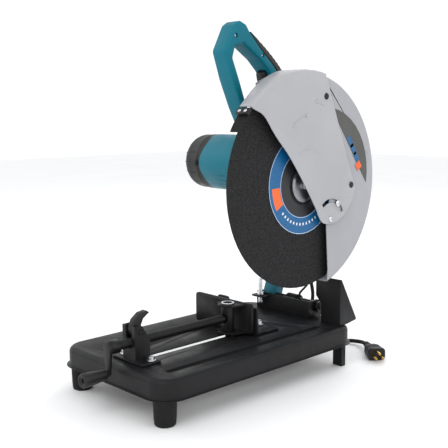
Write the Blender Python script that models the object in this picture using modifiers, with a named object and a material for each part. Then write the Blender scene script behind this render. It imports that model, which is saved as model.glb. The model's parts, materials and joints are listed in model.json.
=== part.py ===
"""Abrasive chop saw, modelled as an assembly of separate named pieces.

Frame: +X to the operator's right (wheel side), +Y from the operator to the rear pivot, +Z up, metres.
Places in this file are measured from the middle of the base at floor level; ORIGIN_SHIFT then moves
the whole saw so that the world origin is the middle of its footprint.
"""
from math import atan2, cos, hypot, pi, radians, sin, tan

import bmesh
import bpy
from mathutils import Matrix, Vector

# ---------------------------------------------------------------- driving dimensions
ORIGIN_SHIFT = Vector((0.0, -0.0069, 0.0))
GAP = 0.0003               # between pieces that touch
BASE_W, BASE_L = 0.268, 0.447     # its upright sides; the lip stands out past them
RIM_Z, TOP_Z = 0.042, 0.074
SHEET = 0.0018             # pressed steel of the base
BASE_CORNER, BASE_FILLET, LIP = 0.036, 0.009, 0.005

WHEEL_R, WHEEL_T = 0.1775, 0.0032
WHEEL_X = 0.097
SPINDLE = (0.115, 0.332)   # y, z of the wheel's axis
MOTOR = (0.097, 0.364)     # y, z of the motor's axis
PIVOT = (0.216, 0.094)     # y, z of the head's pivot
MOTOR_R = 0.050
GUARD_C, GUARD_R = (0.112, 0.334), 0.186
GUARD_FACE, GUARD_LEFT = 0.112, 0.068
GUARD_T = 0.0018
COVER_R, COVER_FACE = 0.1895, 0.1153
COVER_PIVOT = (0.171, 0.2685)
COVER_SLOT_R = 0.0325

VISE_X, SCREW_Z, SCREW_R = 0.019, 0.104, 0.0075
JAW_Y, FENCE_Y = 0.032, 0.042
FENCE_PIVOT, FENCE_LOCK = (0.022, 0.087), (-0.060, 0.087)
WALL_Y = 0.192
HANDLE_X, HANDLE_W = 0.023, 0.034
GEAR_TEETH, PINION_TEETH = 41, 9

CORD_D = 0.0075
COIL_C, COIL_MID_R = (-0.062, 0.308), 0.041
CORD_EXIT = (-0.065, 0.2575, 0.168)

# axes that a flat outline or a turned profile can be laid out on
TO_YZ = Matrix(((0, 0, 1), (1, 0, 0), (0, 1, 0)))    # outline (a, b) lies at y=a, z=b; depth runs along x
TO_XZ = Matrix(((1, 0, 0), (0, 0, -1), (0, 1, 0)))   # outline (a, b) lies at x=a, z=b; depth runs along -y
TO_XY = Matrix.Identity(3)

TEAL = ("teal_plastic", (0.0, 0.20, 0.30), 0.42, 0.0)
TEAL_CAST = ("teal_casting", (0.0, 0.19, 0.28), 0.5, 0.1)
BLACK = ("black_paint", (0.02, 0.02, 0.021), 0.5, 0.0)
PLASTIC = ("black_plastic", (0.018, 0.017, 0.017), 0.55, 0.0)
RUBBER = ("rubber", (0.03, 0.028, 0.028), 0.8, 0.0)
GREY = ("grey_paint", (0.52, 0.52, 0.55), 0.4, 0.0)
PANEL = ("panel_grey", (0.09, 0.09, 0.085), 0.5, 0.0)
ZINC = ("zinc", (0.62, 0.62, 0.62), 0.3, 1.0)
STEEL = ("steel", (0.5, 0.5, 0.5), 0.35, 1.0)
COPPER = ("copper", (0.6, 0.28, 0.14), 0.35, 1.0)
CARBON = ("carbon", (0.04, 0.04, 0.04), 0.6, 0.0)
ABRASIVE = ("abrasive", (0.025, 0.025, 0.027), 0.9, 0.0)
LABEL = ("label_blue", (0.0, 0.14, 0.38), 0.5, 0.0)


# ---------------------------------------------------------------- scene and helpers
def clear_scene():
    for obj in list(bpy.data.objects):
        bpy.data.objects.remove(obj, do_unlink=True)


def collection(name):
    made = bpy.data.collections.new(name)
    bpy.context.scene.collection.children.link(made)
    return made


clear_scene()
PARTS = collection("abrasive_chop_saw")
CUTTERS = collection("cutters")
ROOT = bpy.data.objects.new("saw_root", None)
ROOT.location = ORIGIN_SHIFT
PARTS.objects.link(ROOT)


def material(spec):
    name, rgb, roughness, metallic = spec
    found = bpy.data.materials.get(name)
    if found:
        return found
    made = bpy.data.materials.new(name)
    made.use_nodes = True
    shader = made.node_tree.nodes["Principled BSDF"]
    shader.inputs["Base Color"].default_value = (*rgb, 1)
    shader.inputs["Roughness"].default_value = roughness
    shader.inputs["Metallic"].default_value = metallic
    return made


def add(name, mesh, spec, basis=TO_XY, at=(0, 0, 0)):
    """A named part: the mesh laid out on basis, its origin at `at`, carried by the root empty."""
    obj = bpy.data.objects.new(name, mesh)
    PARTS.objects.link(obj)
    obj.parent = ROOT
    obj.matrix_local = Matrix.Translation(at) @ basis.to_4x4()
    mesh.materials.append(material(spec))
    return obj


def smooth(obj, angle=40):
    obj.data.shade_smooth()
    obj.data.set_sharp_from_angle(angle=radians(angle))
    return obj


def as_cutter(obj):
    """Moves a finished mesh object out of the parts, to cut or to be joined to one."""
    PARTS.objects.unlink(obj)
    CUTTERS.objects.link(obj)
    obj.hide_render = True
    obj.display_type = "WIRE"
    return obj


def boolean(obj, other, operation):
    mod = obj.modifiers.new(operation.lower() + "_" + other.name, "BOOLEAN")
    mod.operation = operation
    mod.object = as_cutter(other)
    mod.solver = "EXACT"
    return obj


def cut(obj, *others):
    for other in others:
        boolean(obj, other, "DIFFERENCE")
    return obj


def join(obj, *others):
    for other in others:
        boolean(obj, other, "UNION")
    return obj


def frozen(obj):
    """The object with its modifiers turned into plain mesh, so that it can itself be a cutter."""
    bpy.context.view_layer.update()
    mesh = bpy.data.meshes.new_from_object(obj.evaluated_get(bpy.context.evaluated_depsgraph_get()))
    obj.modifiers.clear()
    obj.data = mesh
    return obj


def box(name, low, high, spec, bevel=0.0):
    bm = bmesh.new()
    bmesh.ops.create_cube(bm, size=1)
    size = [h - l for l, h in zip(low, high)]
    middle = [(h + l) / 2 for l, h in zip(low, high)]
    bmesh.ops.scale(bm, vec=size, verts=bm.verts)
    mesh = bpy.data.meshes.new(name)
    bm.to_mesh(mesh)
    bm.free()
    obj = add(name, mesh, spec, at=middle)
    if bevel:
        rounding = obj.modifiers.new("edges", "BEVEL")
        rounding.width = bevel
        rounding.segments = 2
    return obj


def rod(name, start, end, radius, spec, sides=24, radius_end=None):
    """A solid cylinder or cone between two points."""
    start, end = Vector(start), Vector(end)
    bm = bmesh.new()
    tip = radius if radius_end is None else radius_end
    bmesh.ops.create_cone(bm, cap_ends=True, segments=sides, radius1=radius, radius2=tip,
                          depth=(end - start).length)
    mesh = bpy.data.meshes.new(name)
    bm.to_mesh(mesh)
    bm.free()
    turn = (end - start).to_track_quat("Z", "Y").to_matrix()
    return smooth(add(name, mesh, spec, turn, (start + end) / 2))


def turned(name, profile, basis, at, spec, sides=32):
    """A ring or body of revolution about the basis' depth axis. profile holds (radius, height) points,
    down the outer side first; it closes on itself unless its ends lie on the axis."""
    bm = bmesh.new()
    points = [bm.verts.new((r, 0, h)) for r, h in profile]
    for a, b in zip(points, points[1:]):
        bm.edges.new((a, b))
    if profile[0][0] > 1e-6:
        bm.edges.new((points[-1], points[0]))
    mesh = bpy.data.meshes.new(name)
    bm.to_mesh(mesh)
    bm.free()
    obj = add(name, mesh, spec, basis, at)
    screw = obj.modifiers.new("turn", "SCREW")
    screw.steps = screw.render_steps = sides
    screw.use_merge_vertices = True
    screw.merge_threshold = 0.00001
    return frozen(obj) and smooth(obj)


def ring(name, basis, at, inner, outer, low, high, spec, sides=32, chamfer=0.0):
    c = chamfer
    profile = [(outer - c, high), (outer, high - c), (outer, low + c), (outer - c, low)] if c else \
        [(outer, high), (outer, low)]
    return turned(name, profile + [(inner, low), (inner, high)], basis, at, spec, sides)


def arc(centre, radius, start, end, steps):
    """Points on a circle from start to end, in degrees."""
    angles = [radians(start + (end - start) * i / steps) for i in range(steps + 1)]
    return [(centre[0] + radius * cos(a), centre[1] + radius * sin(a)) for a in angles]


def hexagon(centre, radius):
    return arc(centre, radius, 0, 300, 5)


def rounded(corners, radius, steps=3):
    """A closed outline with each corner replaced by an arc; radius is one number or one a corner."""
    result = []
    count = len(corners)
    radii = radius if isinstance(radius, (list, tuple)) else [radius] * count
    for i, here in enumerate(corners):
        here = Vector(here)
        before = (Vector(corners[i - 1]) - here).normalized()
        after = (Vector(corners[(i + 1) % count]) - here).normalized()
        half = before.angle(after) / 2
        if radii[i] <= 0 or half > radians(88):
            result.append(tuple(here))
            continue
        back = radii[i] / tan(half)
        middle = here + (before + after).normalized() * radii[i] / sin(half)
        first = here + before * back - middle
        last = here + after * back - middle
        sweep = first.angle_signed(last) * -1
        for k in range(steps + 1):
            a = sweep * k / steps
            result.append((middle.x + first.x * cos(a) - first.y * sin(a),
                           middle.y + first.x * sin(a) + first.y * cos(a)))
    return result


def plate(name, outlines, basis, low, high, spec, edge=0.0, edge_steps=1):
    """A flat outline, with its holes as further outlines, between two depths along the basis' third axis.
    edge rounds both rims of the outline."""
    curve = bpy.data.curves.new(name, "CURVE")
    curve.dimensions = "2D"
    curve.fill_mode = "BOTH"
    curve.extrude = (high - low) / 2 - edge
    curve.bevel_depth = edge
    curve.offset = -edge
    curve.bevel_resolution = edge_steps
    for outline in outlines:
        spline = curve.splines.new("POLY")
        spline.points.add(len(outline) - 1)
        for point, (a, b) in zip(spline.points, outline):
            point.co = (a, b, 0, 1)
        spline.use_cyclic_u = True
    holder = bpy.data.objects.new(name + "_outline", curve)
    PARTS.objects.link(holder)
    bpy.context.view_layer.update()
    mesh = bpy.data.meshes.new_from_object(holder.evaluated_get(bpy.context.evaluated_depsgraph_get()))
    bpy.data.objects.remove(holder)
    bpy.data.curves.remove(curve)
    bm = bmesh.new()
    bm.from_mesh(mesh)
    bmesh.ops.remove_doubles(bm, verts=bm.verts, dist=0.00001)
    bmesh.ops.recalc_face_normals(bm, faces=bm.faces)
    bm.to_mesh(mesh)
    bm.free()
    return smooth(add(name, mesh, spec, basis, basis @ Vector((0, 0, (low + high) / 2))), 35)


def tube(name, points, radius, spec, sides=2):
    """A round bar along points, with closed ends."""
    curve = bpy.data.curves.new(name, "CURVE")
    curve.dimensions = "3D"
    curve.bevel_depth = radius
    curve.bevel_resolution = sides
    curve.use_fill_caps = True
    spline = curve.splines.new("POLY")
    spline.points.add(len(points) - 1)
    for point, place in zip(spline.points, points):
        point.co = (*place, 1)
    obj = bpy.data.objects.new(name, curve)
    PARTS.objects.link(obj)
    obj.parent = ROOT
    curve.materials.append(material(spec))
    return obj


def through(points, per_span):
    """A smooth Catmull-Rom curve through the points."""
    pts = [Vector(p) for p in points]
    pts = [pts[0] * 2 - pts[1]] + pts + [pts[-1] * 2 - pts[-2]]
    line = []
    for a, b, c, d in zip(pts, pts[1:], pts[2:], pts[3:]):
        for i in range(per_span):
            t = i / per_span
            line.append(0.5 * (2 * b + (c - a) * t + (2 * a - 5 * b + 4 * c - d) * t * t
                               + (3 * b - a - 3 * c + d) * t ** 3))
    return line + [pts[-2]]


def on_circle(centre, radius, degrees):
    return centre[0] + radius * cos(radians(degrees)), centre[1] + radius * sin(radians(degrees))


# ---------------------------------------------------------------- base
def rounded_rectangle(width, length, corner, steps=5):
    w, l = width / 2, length / 2
    return rounded([(w, -l), (w, l), (-w, l), (-w, -l)], corner, steps)


def slot_outline(x, y0, y1, width):
    r = width / 2
    return arc((x, y1 - r), r, 0, 180, 6) + arc((x, y0 + r), r, 180, 360, 6)


def base_pan():
    """Pressed tray, open below: lip, upright side, round shoulder and flat top, then the slots and holes."""
    profile = [(-LIP, RIM_Z + SHEET), (0, RIM_Z + SHEET)]
    for i in range(5):
        a = radians(90 * i / 4)
        profile.append((BASE_FILLET * (1 - cos(a)), TOP_Z - BASE_FILLET * (1 - sin(a))))
    bm = bmesh.new()
    rows = []
    for inset, z in profile:
        outline = rounded_rectangle(BASE_W - 2 * inset, BASE_L - 2 * inset, BASE_CORNER - inset)
        rows.append([bm.verts.new((x, y, z)) for x, y in outline])
    for low, high in zip(rows, rows[1:]):
        for i in range(len(low)):
            j = (i + 1) % len(low)
            bm.faces.new((low[i], low[j], high[j], high[i]))
    bm.faces.new(rows[-1])
    bmesh.ops.recalc_face_normals(bm, faces=bm.faces)
    mesh = bpy.data.meshes.new("base_pan")
    bm.to_mesh(mesh)
    bm.free()
    obj = add("base_pan", mesh, BLACK)
    skin = obj.modifiers.new("sheet", "SOLIDIFY")
    skin.thickness = SHEET
    skin.offset = -1
    frozen(obj)
    low, high = TOP_Z - 0.01, TOP_Z + 0.01
    cut(obj, plate("vise_slot_cut", [slot_outline(VISE_X, -0.196, 0.046, 0.012)], TO_XY, low, high, BLACK))
    cut(obj, plate("wheel_slot_cut", [slot_outline(WHEEL_X, -0.187, 0.165, 0.012)], TO_XY, low, high, BLACK))
    collar = [slot_outline(WHEEL_X, -0.189, 0.167, 0.0156), slot_outline(WHEEL_X, -0.187, 0.165, 0.012)]
    join(obj, plate("wheel_slot_flange", collar, TO_XY, TOP_Z - 0.007, TOP_Z - 0.0008, BLACK))
    for i, (x, y) in enumerate(BASE_HOLES):
        cut(obj, rod(f"base_hole_cut_{i}", (x, y, low), (x, y, high), 0.0043, BLACK, 12))
    return smooth(obj)


BRACKET_BOLTS = ((-0.010, -0.183), (0.046, -0.176))
BASE_HOLES = BRACKET_BOLTS + (FENCE_PIVOT, FENCE_LOCK)


def feet():
    """Two tapered rubber feet in front and two folded steel legs behind, all up to the pan's top sheet."""
    top = TOP_Z - SHEET - GAP
    for side, x in (("left", -0.108), ("right", 0.108)):
        profile = [(0, top), (0.0050, top), (0.0050, 0.0570), (0.0148, 0.0560), (0.0150, 0.0415),
                   (0.0182, 0.0405), (0.0165, 0.0040), (0.0145, 0), (0, 0)]
        turned(f"foot_front_{side}", profile, TO_XY, (x, -0.200, 0), RUBBER, 24)
    for side, s in (("left", -1), ("right", 1)):
        angle = [(s * 0.126, 0.194), (s * 0.126, 0.205), (s * 0.1235, 0.205), (s * 0.1235, 0.1965),
                 (s * 0.106, 0.1965), (s * 0.106, 0.194)]
        plate(f"foot_rear_{side}", [angle], TO_XY, 0, 0.0595, BLACK)


# ---------------------------------------------------------------- vise
def bolt(name, x, y, seat, spec=ZINC, shank=0.012, head=0.0055, radius=0.0065):
    """Hexagon bolt with a washer face, standing on the height `seat`, its shank running down."""
    profile_head = hexagon((x, y), radius)
    obj = plate(name, [profile_head], TO_XY, seat + 0.0016, seat + head + 0.0016, spec)
    washer = rod(name + "_washer", (x, y, seat + GAP), (x, y, seat + 0.0018), radius + 0.0015, spec, 16)
    stem = rod(name + "_shank", (x, y, seat - shank), (x, y, seat + 0.001), 0.0038, spec, 12)
    return join(obj, washer, stem)


def vise_bracket():
    """Folded bracket: two cheeks and a front web with the screw's hole, on a foot plate over the slot."""
    left, right, front, rear, t = 0.003, 0.035, -0.197, -0.168, 0.003
    foot = TOP_Z + GAP
    channel = [(left, rear), (left, front), (right, front), (right, rear), (right - t, rear),
               (right - t, front + t), (left + t, front + t), (left + t, rear)]
    obj = plate("vise_bracket", [channel], TO_XY, foot, 0.131, BLACK)
    holes = [arc((x, y), 0.0041, 0, 330, 11) for x, y in BRACKET_BOLTS]
    window = rounded([(left + t, front + t), (right - t, front + t), (right - t, rear + 0.002),
                      (left + t, rear + 0.002)], 0.0)
    sole = rounded([(-0.020, -0.201), (0.057, -0.201), (0.057, -0.163), (-0.020, -0.163)], 0.004)
    join(obj, plate("bracket_sole", [sole, window] + holes, TO_XY, foot, foot + t, BLACK))
    chamfer = [(-0.150, 0.150), (-0.150, 0.104), (-0.1665, 0.104), (-0.183, 0.1315), (-0.183, 0.150)]
    cut(obj, plate("bracket_chamfer_cut", [chamfer], TO_YZ, -0.01, 0.05, BLACK))
    cut(obj, rod("bracket_screw_cut", (VISE_X, -0.21, SCREW_Z), (VISE_X, -0.18, SCREW_Z), 0.0088, BLACK, 20))
    mouth = box("bracket_mouth_cut", (VISE_X - 0.0075, -0.2, 0.112), (VISE_X + 0.0075, -0.19, 0.14), BLACK)
    cut(obj, mouth)
    y, z = LEVER_PIN
    cut(obj, rod("bracket_pin_cut", (-0.01, y, z), (0.05, y, z), 0.0031, BLACK, 12))
    for i, (x, y) in enumerate(BRACKET_BOLTS):
        bolt(f"bracket_bolt_{('left', 'right')[i]}", x, y, foot + t)
    return obj


LEVER_PIN = (-0.1865, 0.1215)


def quick_release():
    """Horn-shaped lever moulded on its cross pin, with the half nut that it holds down on the screw."""
    y, z = LEVER_PIN
    outer = [(-0.1920, 0.1153), (-0.1950, 0.126), (-0.1890, 0.1395), (-0.1775, 0.1480), (-0.1650, 0.1500),
             (-0.1605, 0.1465)]
    inner = [(-0.1650, 0.1440), (-0.1725, 0.1390), (-0.1770, 0.1300), (-0.1775, 0.1200), (-0.1785, 0.1153)]
    lever = plate("quick_release_lever", [outer + inner], TO_YZ, 0.0125, 0.0255, PLASTIC, 0.0015)
    join(lever, rod("lever_pin", (0.0015, y, z), (0.0365, y, z), 0.0028, ZINC, 16))
    nut = box("half_nut", (0.0115, -0.184, 0.1035), (0.0265, -0.1700, 0.1150), STEEL, 0.0008)
    cut(frozen(nut), rod("half_nut_cut", (VISE_X, -0.19, SCREW_Z), (VISE_X, -0.16, SCREW_Z),
                         SCREW_R + 0.0004, STEEL, 24))


def vise_screw():
    """Threaded bar with its thrust collar, and the crank with a free-turning grip."""
    rod("vise_screw", (VISE_X, -0.2325, SCREW_Z), (VISE_X, 0.0025, SCREW_Z), SCREW_R, STEEL, 20)
    grip_z = SCREW_Z - 0.040
    shape = arc((VISE_X, SCREW_Z), 0.0098, -30, 210, 12) + arc((VISE_X, grip_z), 0.0042, 180, 360, 6)
    arm = frozen(plate("vise_crank", [shape], TO_XZ, 0.2335, 0.2385, BLACK, 0.0008))
    hub = ring("crank_hub", TO_XZ, (VISE_X, 0, SCREW_Z), SCREW_R + GAP, 0.0105, 0.2185, 0.2345, BLACK, 20)
    pin = rod("crank_pin", (VISE_X, -0.2365, grip_z), (VISE_X, -0.280, grip_z), 0.0030, BLACK, 12)
    join(arm, hub, pin)
    grip = [(0.0095, 0.2840), (0.0108, 0.2815), (0.0102, 0.2640), (0.0084, 0.2460), (0.0070, 0.2405),
            (0.0035, 0.2405), (0.0035, 0.2815), (0.0060, 0.2840)]
    turned("crank_grip", grip, TO_XZ, (VISE_X, 0, grip_z), PLASTIC, 24)


def vise_jaw():
    """Jaw plate on a channel bracket that swivels on an upright tube; the screw pushes the tube."""
    low, high, t = TOP_Z + 0.003, TOP_Z + 0.056, 0.006
    face = rounded([(-0.084, low), (0.058, low), (0.058, high), (-0.084, high)], 0.006)
    jaw = plate("vise_jaw", [face], TO_XZ, -(JAW_Y + t), -JAW_Y, BLACK, 0.0008)
    ear = [(-0.006, JAW_Y + 0.002), (-0.002, 0.006)] + arc((VISE_X, 0.014), 0.0175, 205, 335, 6) \
        + [(0.040, 0.006), (0.044, JAW_Y + 0.002)]
    bore = arc((VISE_X, 0.014), 0.0115, 0, 345, 23)
    z0, z1 = low + 0.001, high - 0.001
    join(jaw, plate("jaw_upper_ear", [ear, bore], TO_XY, z1 - 0.003, z1, BLACK))
    join(jaw, plate("jaw_lower_ear", [ear, bore], TO_XY, z0, z0 + 0.003, BLACK))
    floor, foot = low + 0.014, low - 0.0015
    profile = [(0, floor), (0.0080, floor), (0.0080, z1 + 0.0015), (0.0112, z1 + 0.0015), (0.0112, foot),
               (0.0050, foot), (0.0050, TOP_Z - 0.012), (0, TOP_Z - 0.012)]
    post = turned("jaw_post", profile, TO_XY, (VISE_X, 0.014, 0), ZINC, 24)
    cut(post, rod("jaw_post_cut", (VISE_X, -0.02, SCREW_Z), (VISE_X, 0.008, SCREW_Z),
                  SCREW_R + GAP, ZINC, 20))


def fence():
    """Angle plate that the work rests against, on a pivot bolt and a clamping bolt in a curved slot."""
    low, t = TOP_Z + GAP, 0.004
    radius = FENCE_PIVOT[0] - FENCE_LOCK[0]
    slot = (arc(FENCE_PIVOT, radius + 0.0045, 176.8, 198.2, 6)
            + arc(FENCE_PIVOT, radius - 0.0045, 198.2, 176.8, 6))
    pivot_hole = arc(FENCE_PIVOT, 0.0042, 0, 330, 11)
    sole = rounded([(-0.084, FENCE_Y), (0.061, FENCE_Y), (0.061, 0.100), (-0.084, 0.100)],
                   [0, 0, 0.006, 0.006])
    obj = plate("fence", [sole, slot, pivot_hole], TO_XY, low, low + t, BLACK)
    wall = rounded([(-0.084, low), (0.061, low), (0.061, 0.122), (-0.005, 0.122), (-0.012, 0.1315),
                    (-0.034, 0.1315), (-0.041, 0.122), (-0.084, 0.122)],
                   [0, 0, 0.005, 0, 0.004, 0.004, 0, 0.005])
    join(obj, plate("fence_wall", [wall], TO_XZ, -(FENCE_Y + t), -FENCE_Y, BLACK))
    bolt("fence_pivot_bolt", *FENCE_PIVOT, low + t, head=0.006, radius=0.0075)
    bolt("fence_lock_bolt", *FENCE_LOCK, low + t, head=0.006, radius=0.0075)


# ---------------------------------------------------------------- rear pivot
def pivot_bracket():
    """Low front wall between two cheeks that carry the axle, with the depth stop's lug at its left."""
    low, top, t = TOP_Z + GAP, 0.106, 0.003
    left, right, rear = -0.083, 0.049, 0.2285
    y, z = PIVOT
    wall = [(left, low), (right, low), (right, top), (left, top)]
    obj = plate("pivot_bracket", [wall], TO_XZ, -(WALL_Y + t), -WALL_Y, BLACK)
    cheek = [(WALL_Y + 0.001, low), (rear, low), (rear, z + 0.004)] + arc(PIVOT, 0.0125, 15, 120, 6) \
        + [(WALL_Y + 0.001, top)]
    bore = arc(PIVOT, 0.0059, 0, 340, 17)
    for name, x in (("cheek_left", left), ("cheek_right", right - t)):
        join(obj, plate(name, [cheek, bore], TO_YZ, x, x + t, BLACK))
    sole = [(left, WALL_Y + 0.001), (right, WALL_Y + 0.001), (right, 0.2125), (left, 0.2125)]
    join(obj, plate("pivot_sole", [sole], TO_XY, low, low + 0.002, BLACK))
    lug = rounded([(left, WALL_Y + 0.002), (left, 0.176), (-0.050, 0.176), (-0.050, WALL_Y + 0.002)],
                  [0, 0.003, 0.003, 0])
    hole = arc((STOP_X, STOP_Y), 0.0043, 0, 330, 11)
    join(obj, plate("stop_lug", [lug, hole], TO_XY, 0.0985, 0.1015, BLACK))
    return obj


STOP_X, STOP_Y = -0.066, 0.184


def depth_stop():
    """Upright screw that the arm comes down on, and the nut that locks it."""
    obj = plate("depth_stop_screw", [hexagon((STOP_X, STOP_Y), 0.0055)], TO_XY, 0.0865, 0.0915, ZINC)
    join(obj, rod("stop_thread", (STOP_X, STOP_Y, 0.0905), (STOP_X, STOP_Y, 0.134), 0.0039, ZINC, 14))
    nut = [hexagon((STOP_X, STOP_Y), 0.0072), arc((STOP_X, STOP_Y), 0.0043, 0, 330, 11)]
    plate("depth_stop_nut", nut, TO_XY, 0.1015 + GAP, 0.1080, ZINC)


def pivot_axle():
    y, z = PIVOT
    obj = rod("pivot_axle", (-0.0885, y, z), (0.0605, y, z), 0.0055, ZINC, 20)
    head = plate("axle_head", [hexagon(PIVOT, 0.0105)], TO_YZ, -0.0900, -0.0833, ZINC)
    nut = plate("axle_nut", [hexagon(PIVOT, 0.0105)], TO_YZ, 0.0493, 0.0570, ZINC)
    join(obj, head, nut)


def spark_deflector():
    """Upright sheet behind the wheel's slot, with a sloping gusset at its right end."""
    low, top, t = TOP_Z + GAP, 0.158, 0.003
    sheet = [(0.078, low), (0.122, low), (0.122, top), (0.072, top), (0.066, 0.148), (0.066, 0.122),
             (0.078, 0.108)]
    obj = plate("spark_deflector", [sheet], TO_XZ, -(0.1925 + t), -0.1925, BLACK)
    gusset = [(0.1935, low), (0.215, low), (0.240, 0.078), (0.240, 0.081), (0.1965, top), (0.1935, top)]
    join(obj, plate("gusset", [gusset], TO_YZ, 0.119, 0.122, BLACK))
    sole = [(0.078, 0.1935), (0.1205, 0.1935), (0.1205, 0.2125), (0.078, 0.2125)]
    join(obj, plate("deflector_sole", [sole], TO_XY, low, low + 0.002, BLACK))


# ---------------------------------------------------------------- head: arm, gears and motor


def swing_arm():
    """Cast arm: a cross tube on the axle, a narrow foot, and a wide body up to the gear housing."""
    y, z = PIVOT
    hub = arc(PIVOT, 0.0142, 180, 360, 10)
    foot = hub + [(0.2370, 0.115), (0.2500, 0.150), (0.2490, 0.175), (0.215, 0.175), (0.2130, 0.156),
                  (0.2205, 0.148), (0.2205, 0.139), (0.2115, 0.122), (0.2080, 0.112)]
    obj = plate("swing_arm", [foot], TO_YZ, -0.079, -0.0515, TEAL_CAST, 0.0015)
    body = rounded([(0.2180, 0.152), (0.2500, 0.152), (0.2510, 0.190), (0.2280, 0.262), (0.2000, 0.322),
                    (0.1700, 0.330), (0.1585, 0.300), (0.1750, 0.255), (0.1960, 0.200)],
                   [0.004, 0.006, 0.03, 0.05, 0.01, 0.008, 0.02, 0.04, 0.03])
    join(obj, plate("arm_body", [body], TO_YZ, -0.079, 0.0295, TEAL_CAST, 0.002))
    join(obj, rod("arm_tube", (-0.0788, y, z), (0.0455, y, z), 0.0092, TEAL_CAST, 24))
    cut(obj, rod("arm_bore_cut", (-0.09, y, z), (0.06, y, z), 0.0058, TEAL_CAST, 24))
    cut(obj, rod("arm_motor_cut", (-0.09, *MOTOR), (0.04, *MOTOR), MOTOR_R + 0.0011, TEAL_CAST, 40))
    return obj


def return_spring():
    """Torsion spring round the arm's cross tube; one leg bears on the base, the other on the arm."""
    y, z = PIVOT
    radius, wire, turns, per_turn = 0.0122, 0.0021, 5, 10
    x0, pitch = -0.022, 0.0050
    points = [(x0, y + 0.0120, TOP_Z + 0.0055), (x0, y + 0.0124, z - 0.006)]
    for i in range(turns * per_turn + 3):
        a = 2 * pi * i / per_turn
        points.append((x0 + pitch * i / per_turn, y + radius * cos(a), z + radius * sin(a)))
    x1 = points[-1][0]
    points += [(x1 + 0.012, y - 0.010, z + 0.022), (x1 + 0.024, y - 0.006, z + 0.036),
               (x1 + 0.025, y + 0.012, z + 0.0545)]
    tube("return_spring", points, wire, STEEL, 1)


def gear_housing():
    """Cast case for the gear pair, open towards the motor, and the box on it that holds the bearing."""
    sy, sz = SPINDLE
    my, mz = MOTOR
    tilt = atan2(mz - sz, my - sy)
    def shape(spindle_r, motor_r):
        spread = 90
        lead = tilt * 180 / pi
        return arc(MOTOR, motor_r, lead - spread, lead + spread, 18) + \
            arc(SPINDLE, spindle_r, lead + spread, lead + 360 - spread, 18)
    obj = plate("gear_housing", [shape(0.0450, 0.0500)], TO_YZ, 0.0303, 0.066, TEAL_CAST, 0.0025)
    cut(obj, plate("gear_cavity_cut", [shape(0.0400, 0.0250)], TO_YZ, 0.025, 0.0615, TEAL_CAST))
    cut(obj, rod("case_bore_cut", (0.055, sy, sz), (0.070, sy, sz), 0.0164, TEAL_CAST, 32))
    cup = [(0.0270, 0.0865), (0.0285, 0.0850), (0.0285, 0.0663), (0.0164, 0.0663), (0.0164, 0.0845),
           (0.0100, 0.0845), (0.0100, 0.0865)]
    turned("bearing_box", cup, TO_YZ, (0, sy, sz), TEAL_CAST, 32)
    return obj


def toothed(centre, teeth, module, phase, bore):
    """Outline of a spur gear with slim straight-sided teeth, and its bore."""
    root, tip = module * (teeth / 2 - 1.05), module * (teeth / 2 + 0.62)
    outline = []
    step = 2 * pi / teeth
    for i in range(teeth):
        middle = phase + i * step
        for share, radius in ((-0.25, root), (-0.10, tip), (0.10, tip), (0.25, root)):
            a = middle + share * step
            outline.append((centre[0] + radius * cos(a), centre[1] + radius * sin(a)))
    hole = [(centre[0] + bore * cos(-pi * i / 10), centre[1] + bore * sin(-pi * i / 10)) for i in range(20)]
    return [outline, hole]


def gears():
    """The spindle's gear, and the pinion, which motor() joins to the armature's shaft."""
    (sy, sz), (my, mz) = SPINDLE, MOTOR
    module = 2 * hypot(my - sy, mz - sz) / (GEAR_TEETH + PINION_TEETH)
    line = atan2(mz - sz, my - sy)
    big = toothed(SPINDLE, GEAR_TEETH, module, line, 0.0083)
    plate("spindle_gear", big, TO_YZ, 0.044, 0.054, STEEL)
    small = toothed(MOTOR, PINION_TEETH, module, line + pi + pi / PINION_TEETH, 0.0033)
    return plate("pinion", small[:1], TO_YZ, 0.0425, 0.0555, STEEL)


def spindle():
    """Wheel spindle with its inner flange, its bearing, the loose outer flange and the arbor bolt."""
    place = (0, *SPINDLE)
    x0, x1 = WHEEL_X - WHEEL_T / 2, WHEEL_X + WHEEL_T / 2
    shaft = [(0, x1 + 0.0030), (0.0124, x1 + 0.0030), (0.0124, x0 - 0.0003), (0.0270, x0 - 0.0003),
             (0.0300, x0 - 0.0020), (0.0300, x0 - 0.0060), (0.0090, x0 - 0.0060), (0.0090, 0.0860),
             (0.0080, 0.0845), (0.0080, 0.0280), (0, 0.0280)]
    turned("spindle", shaft, TO_YZ, place, STEEL, 28)
    ring("spindle_bearing", TO_YZ, place, 0.0083, 0.0161, 0.0660, 0.0835, STEEL, 28, 0.0006)
    outer = [(0.0250, x1 + 0.0050), (0.0300, x1 + 0.0035), (0.0300, x1 + 0.0003), (0.0128, x1 + 0.0003),
             (0.0128, x1 + 0.0033), (0.0055, x1 + 0.0033), (0.0055, x1 + 0.0050)]
    turned("flange_outer", outer, TO_YZ, place, STEEL, 32)
    head = plate("arbor_bolt", [hexagon(SPINDLE, 0.0085)], TO_YZ, x1 + 0.0053, 0.1115, ZINC)
    join(head, rod("arbor_stem", (x1 + 0.0034, *SPINDLE), (x1 + 0.0060, *SPINDLE), 0.0050, ZINC, 16))


def wheel():
    """Abrasive cut-off wheel and the paper label on its outer face."""
    place = (0, *SPINDLE)
    x0, x1 = WHEEL_X - WHEEL_T / 2, WHEEL_X + WHEEL_T / 2
    ring("wheel", TO_YZ, place, 0.0127, WHEEL_R, x0, x1, ABRASIVE, 72, 0.0006)
    ring("wheel_label", TO_YZ, place, 0.0345, 0.0850, x1 + 0.0002, x1 + 0.0006, LABEL, 36)


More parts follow.
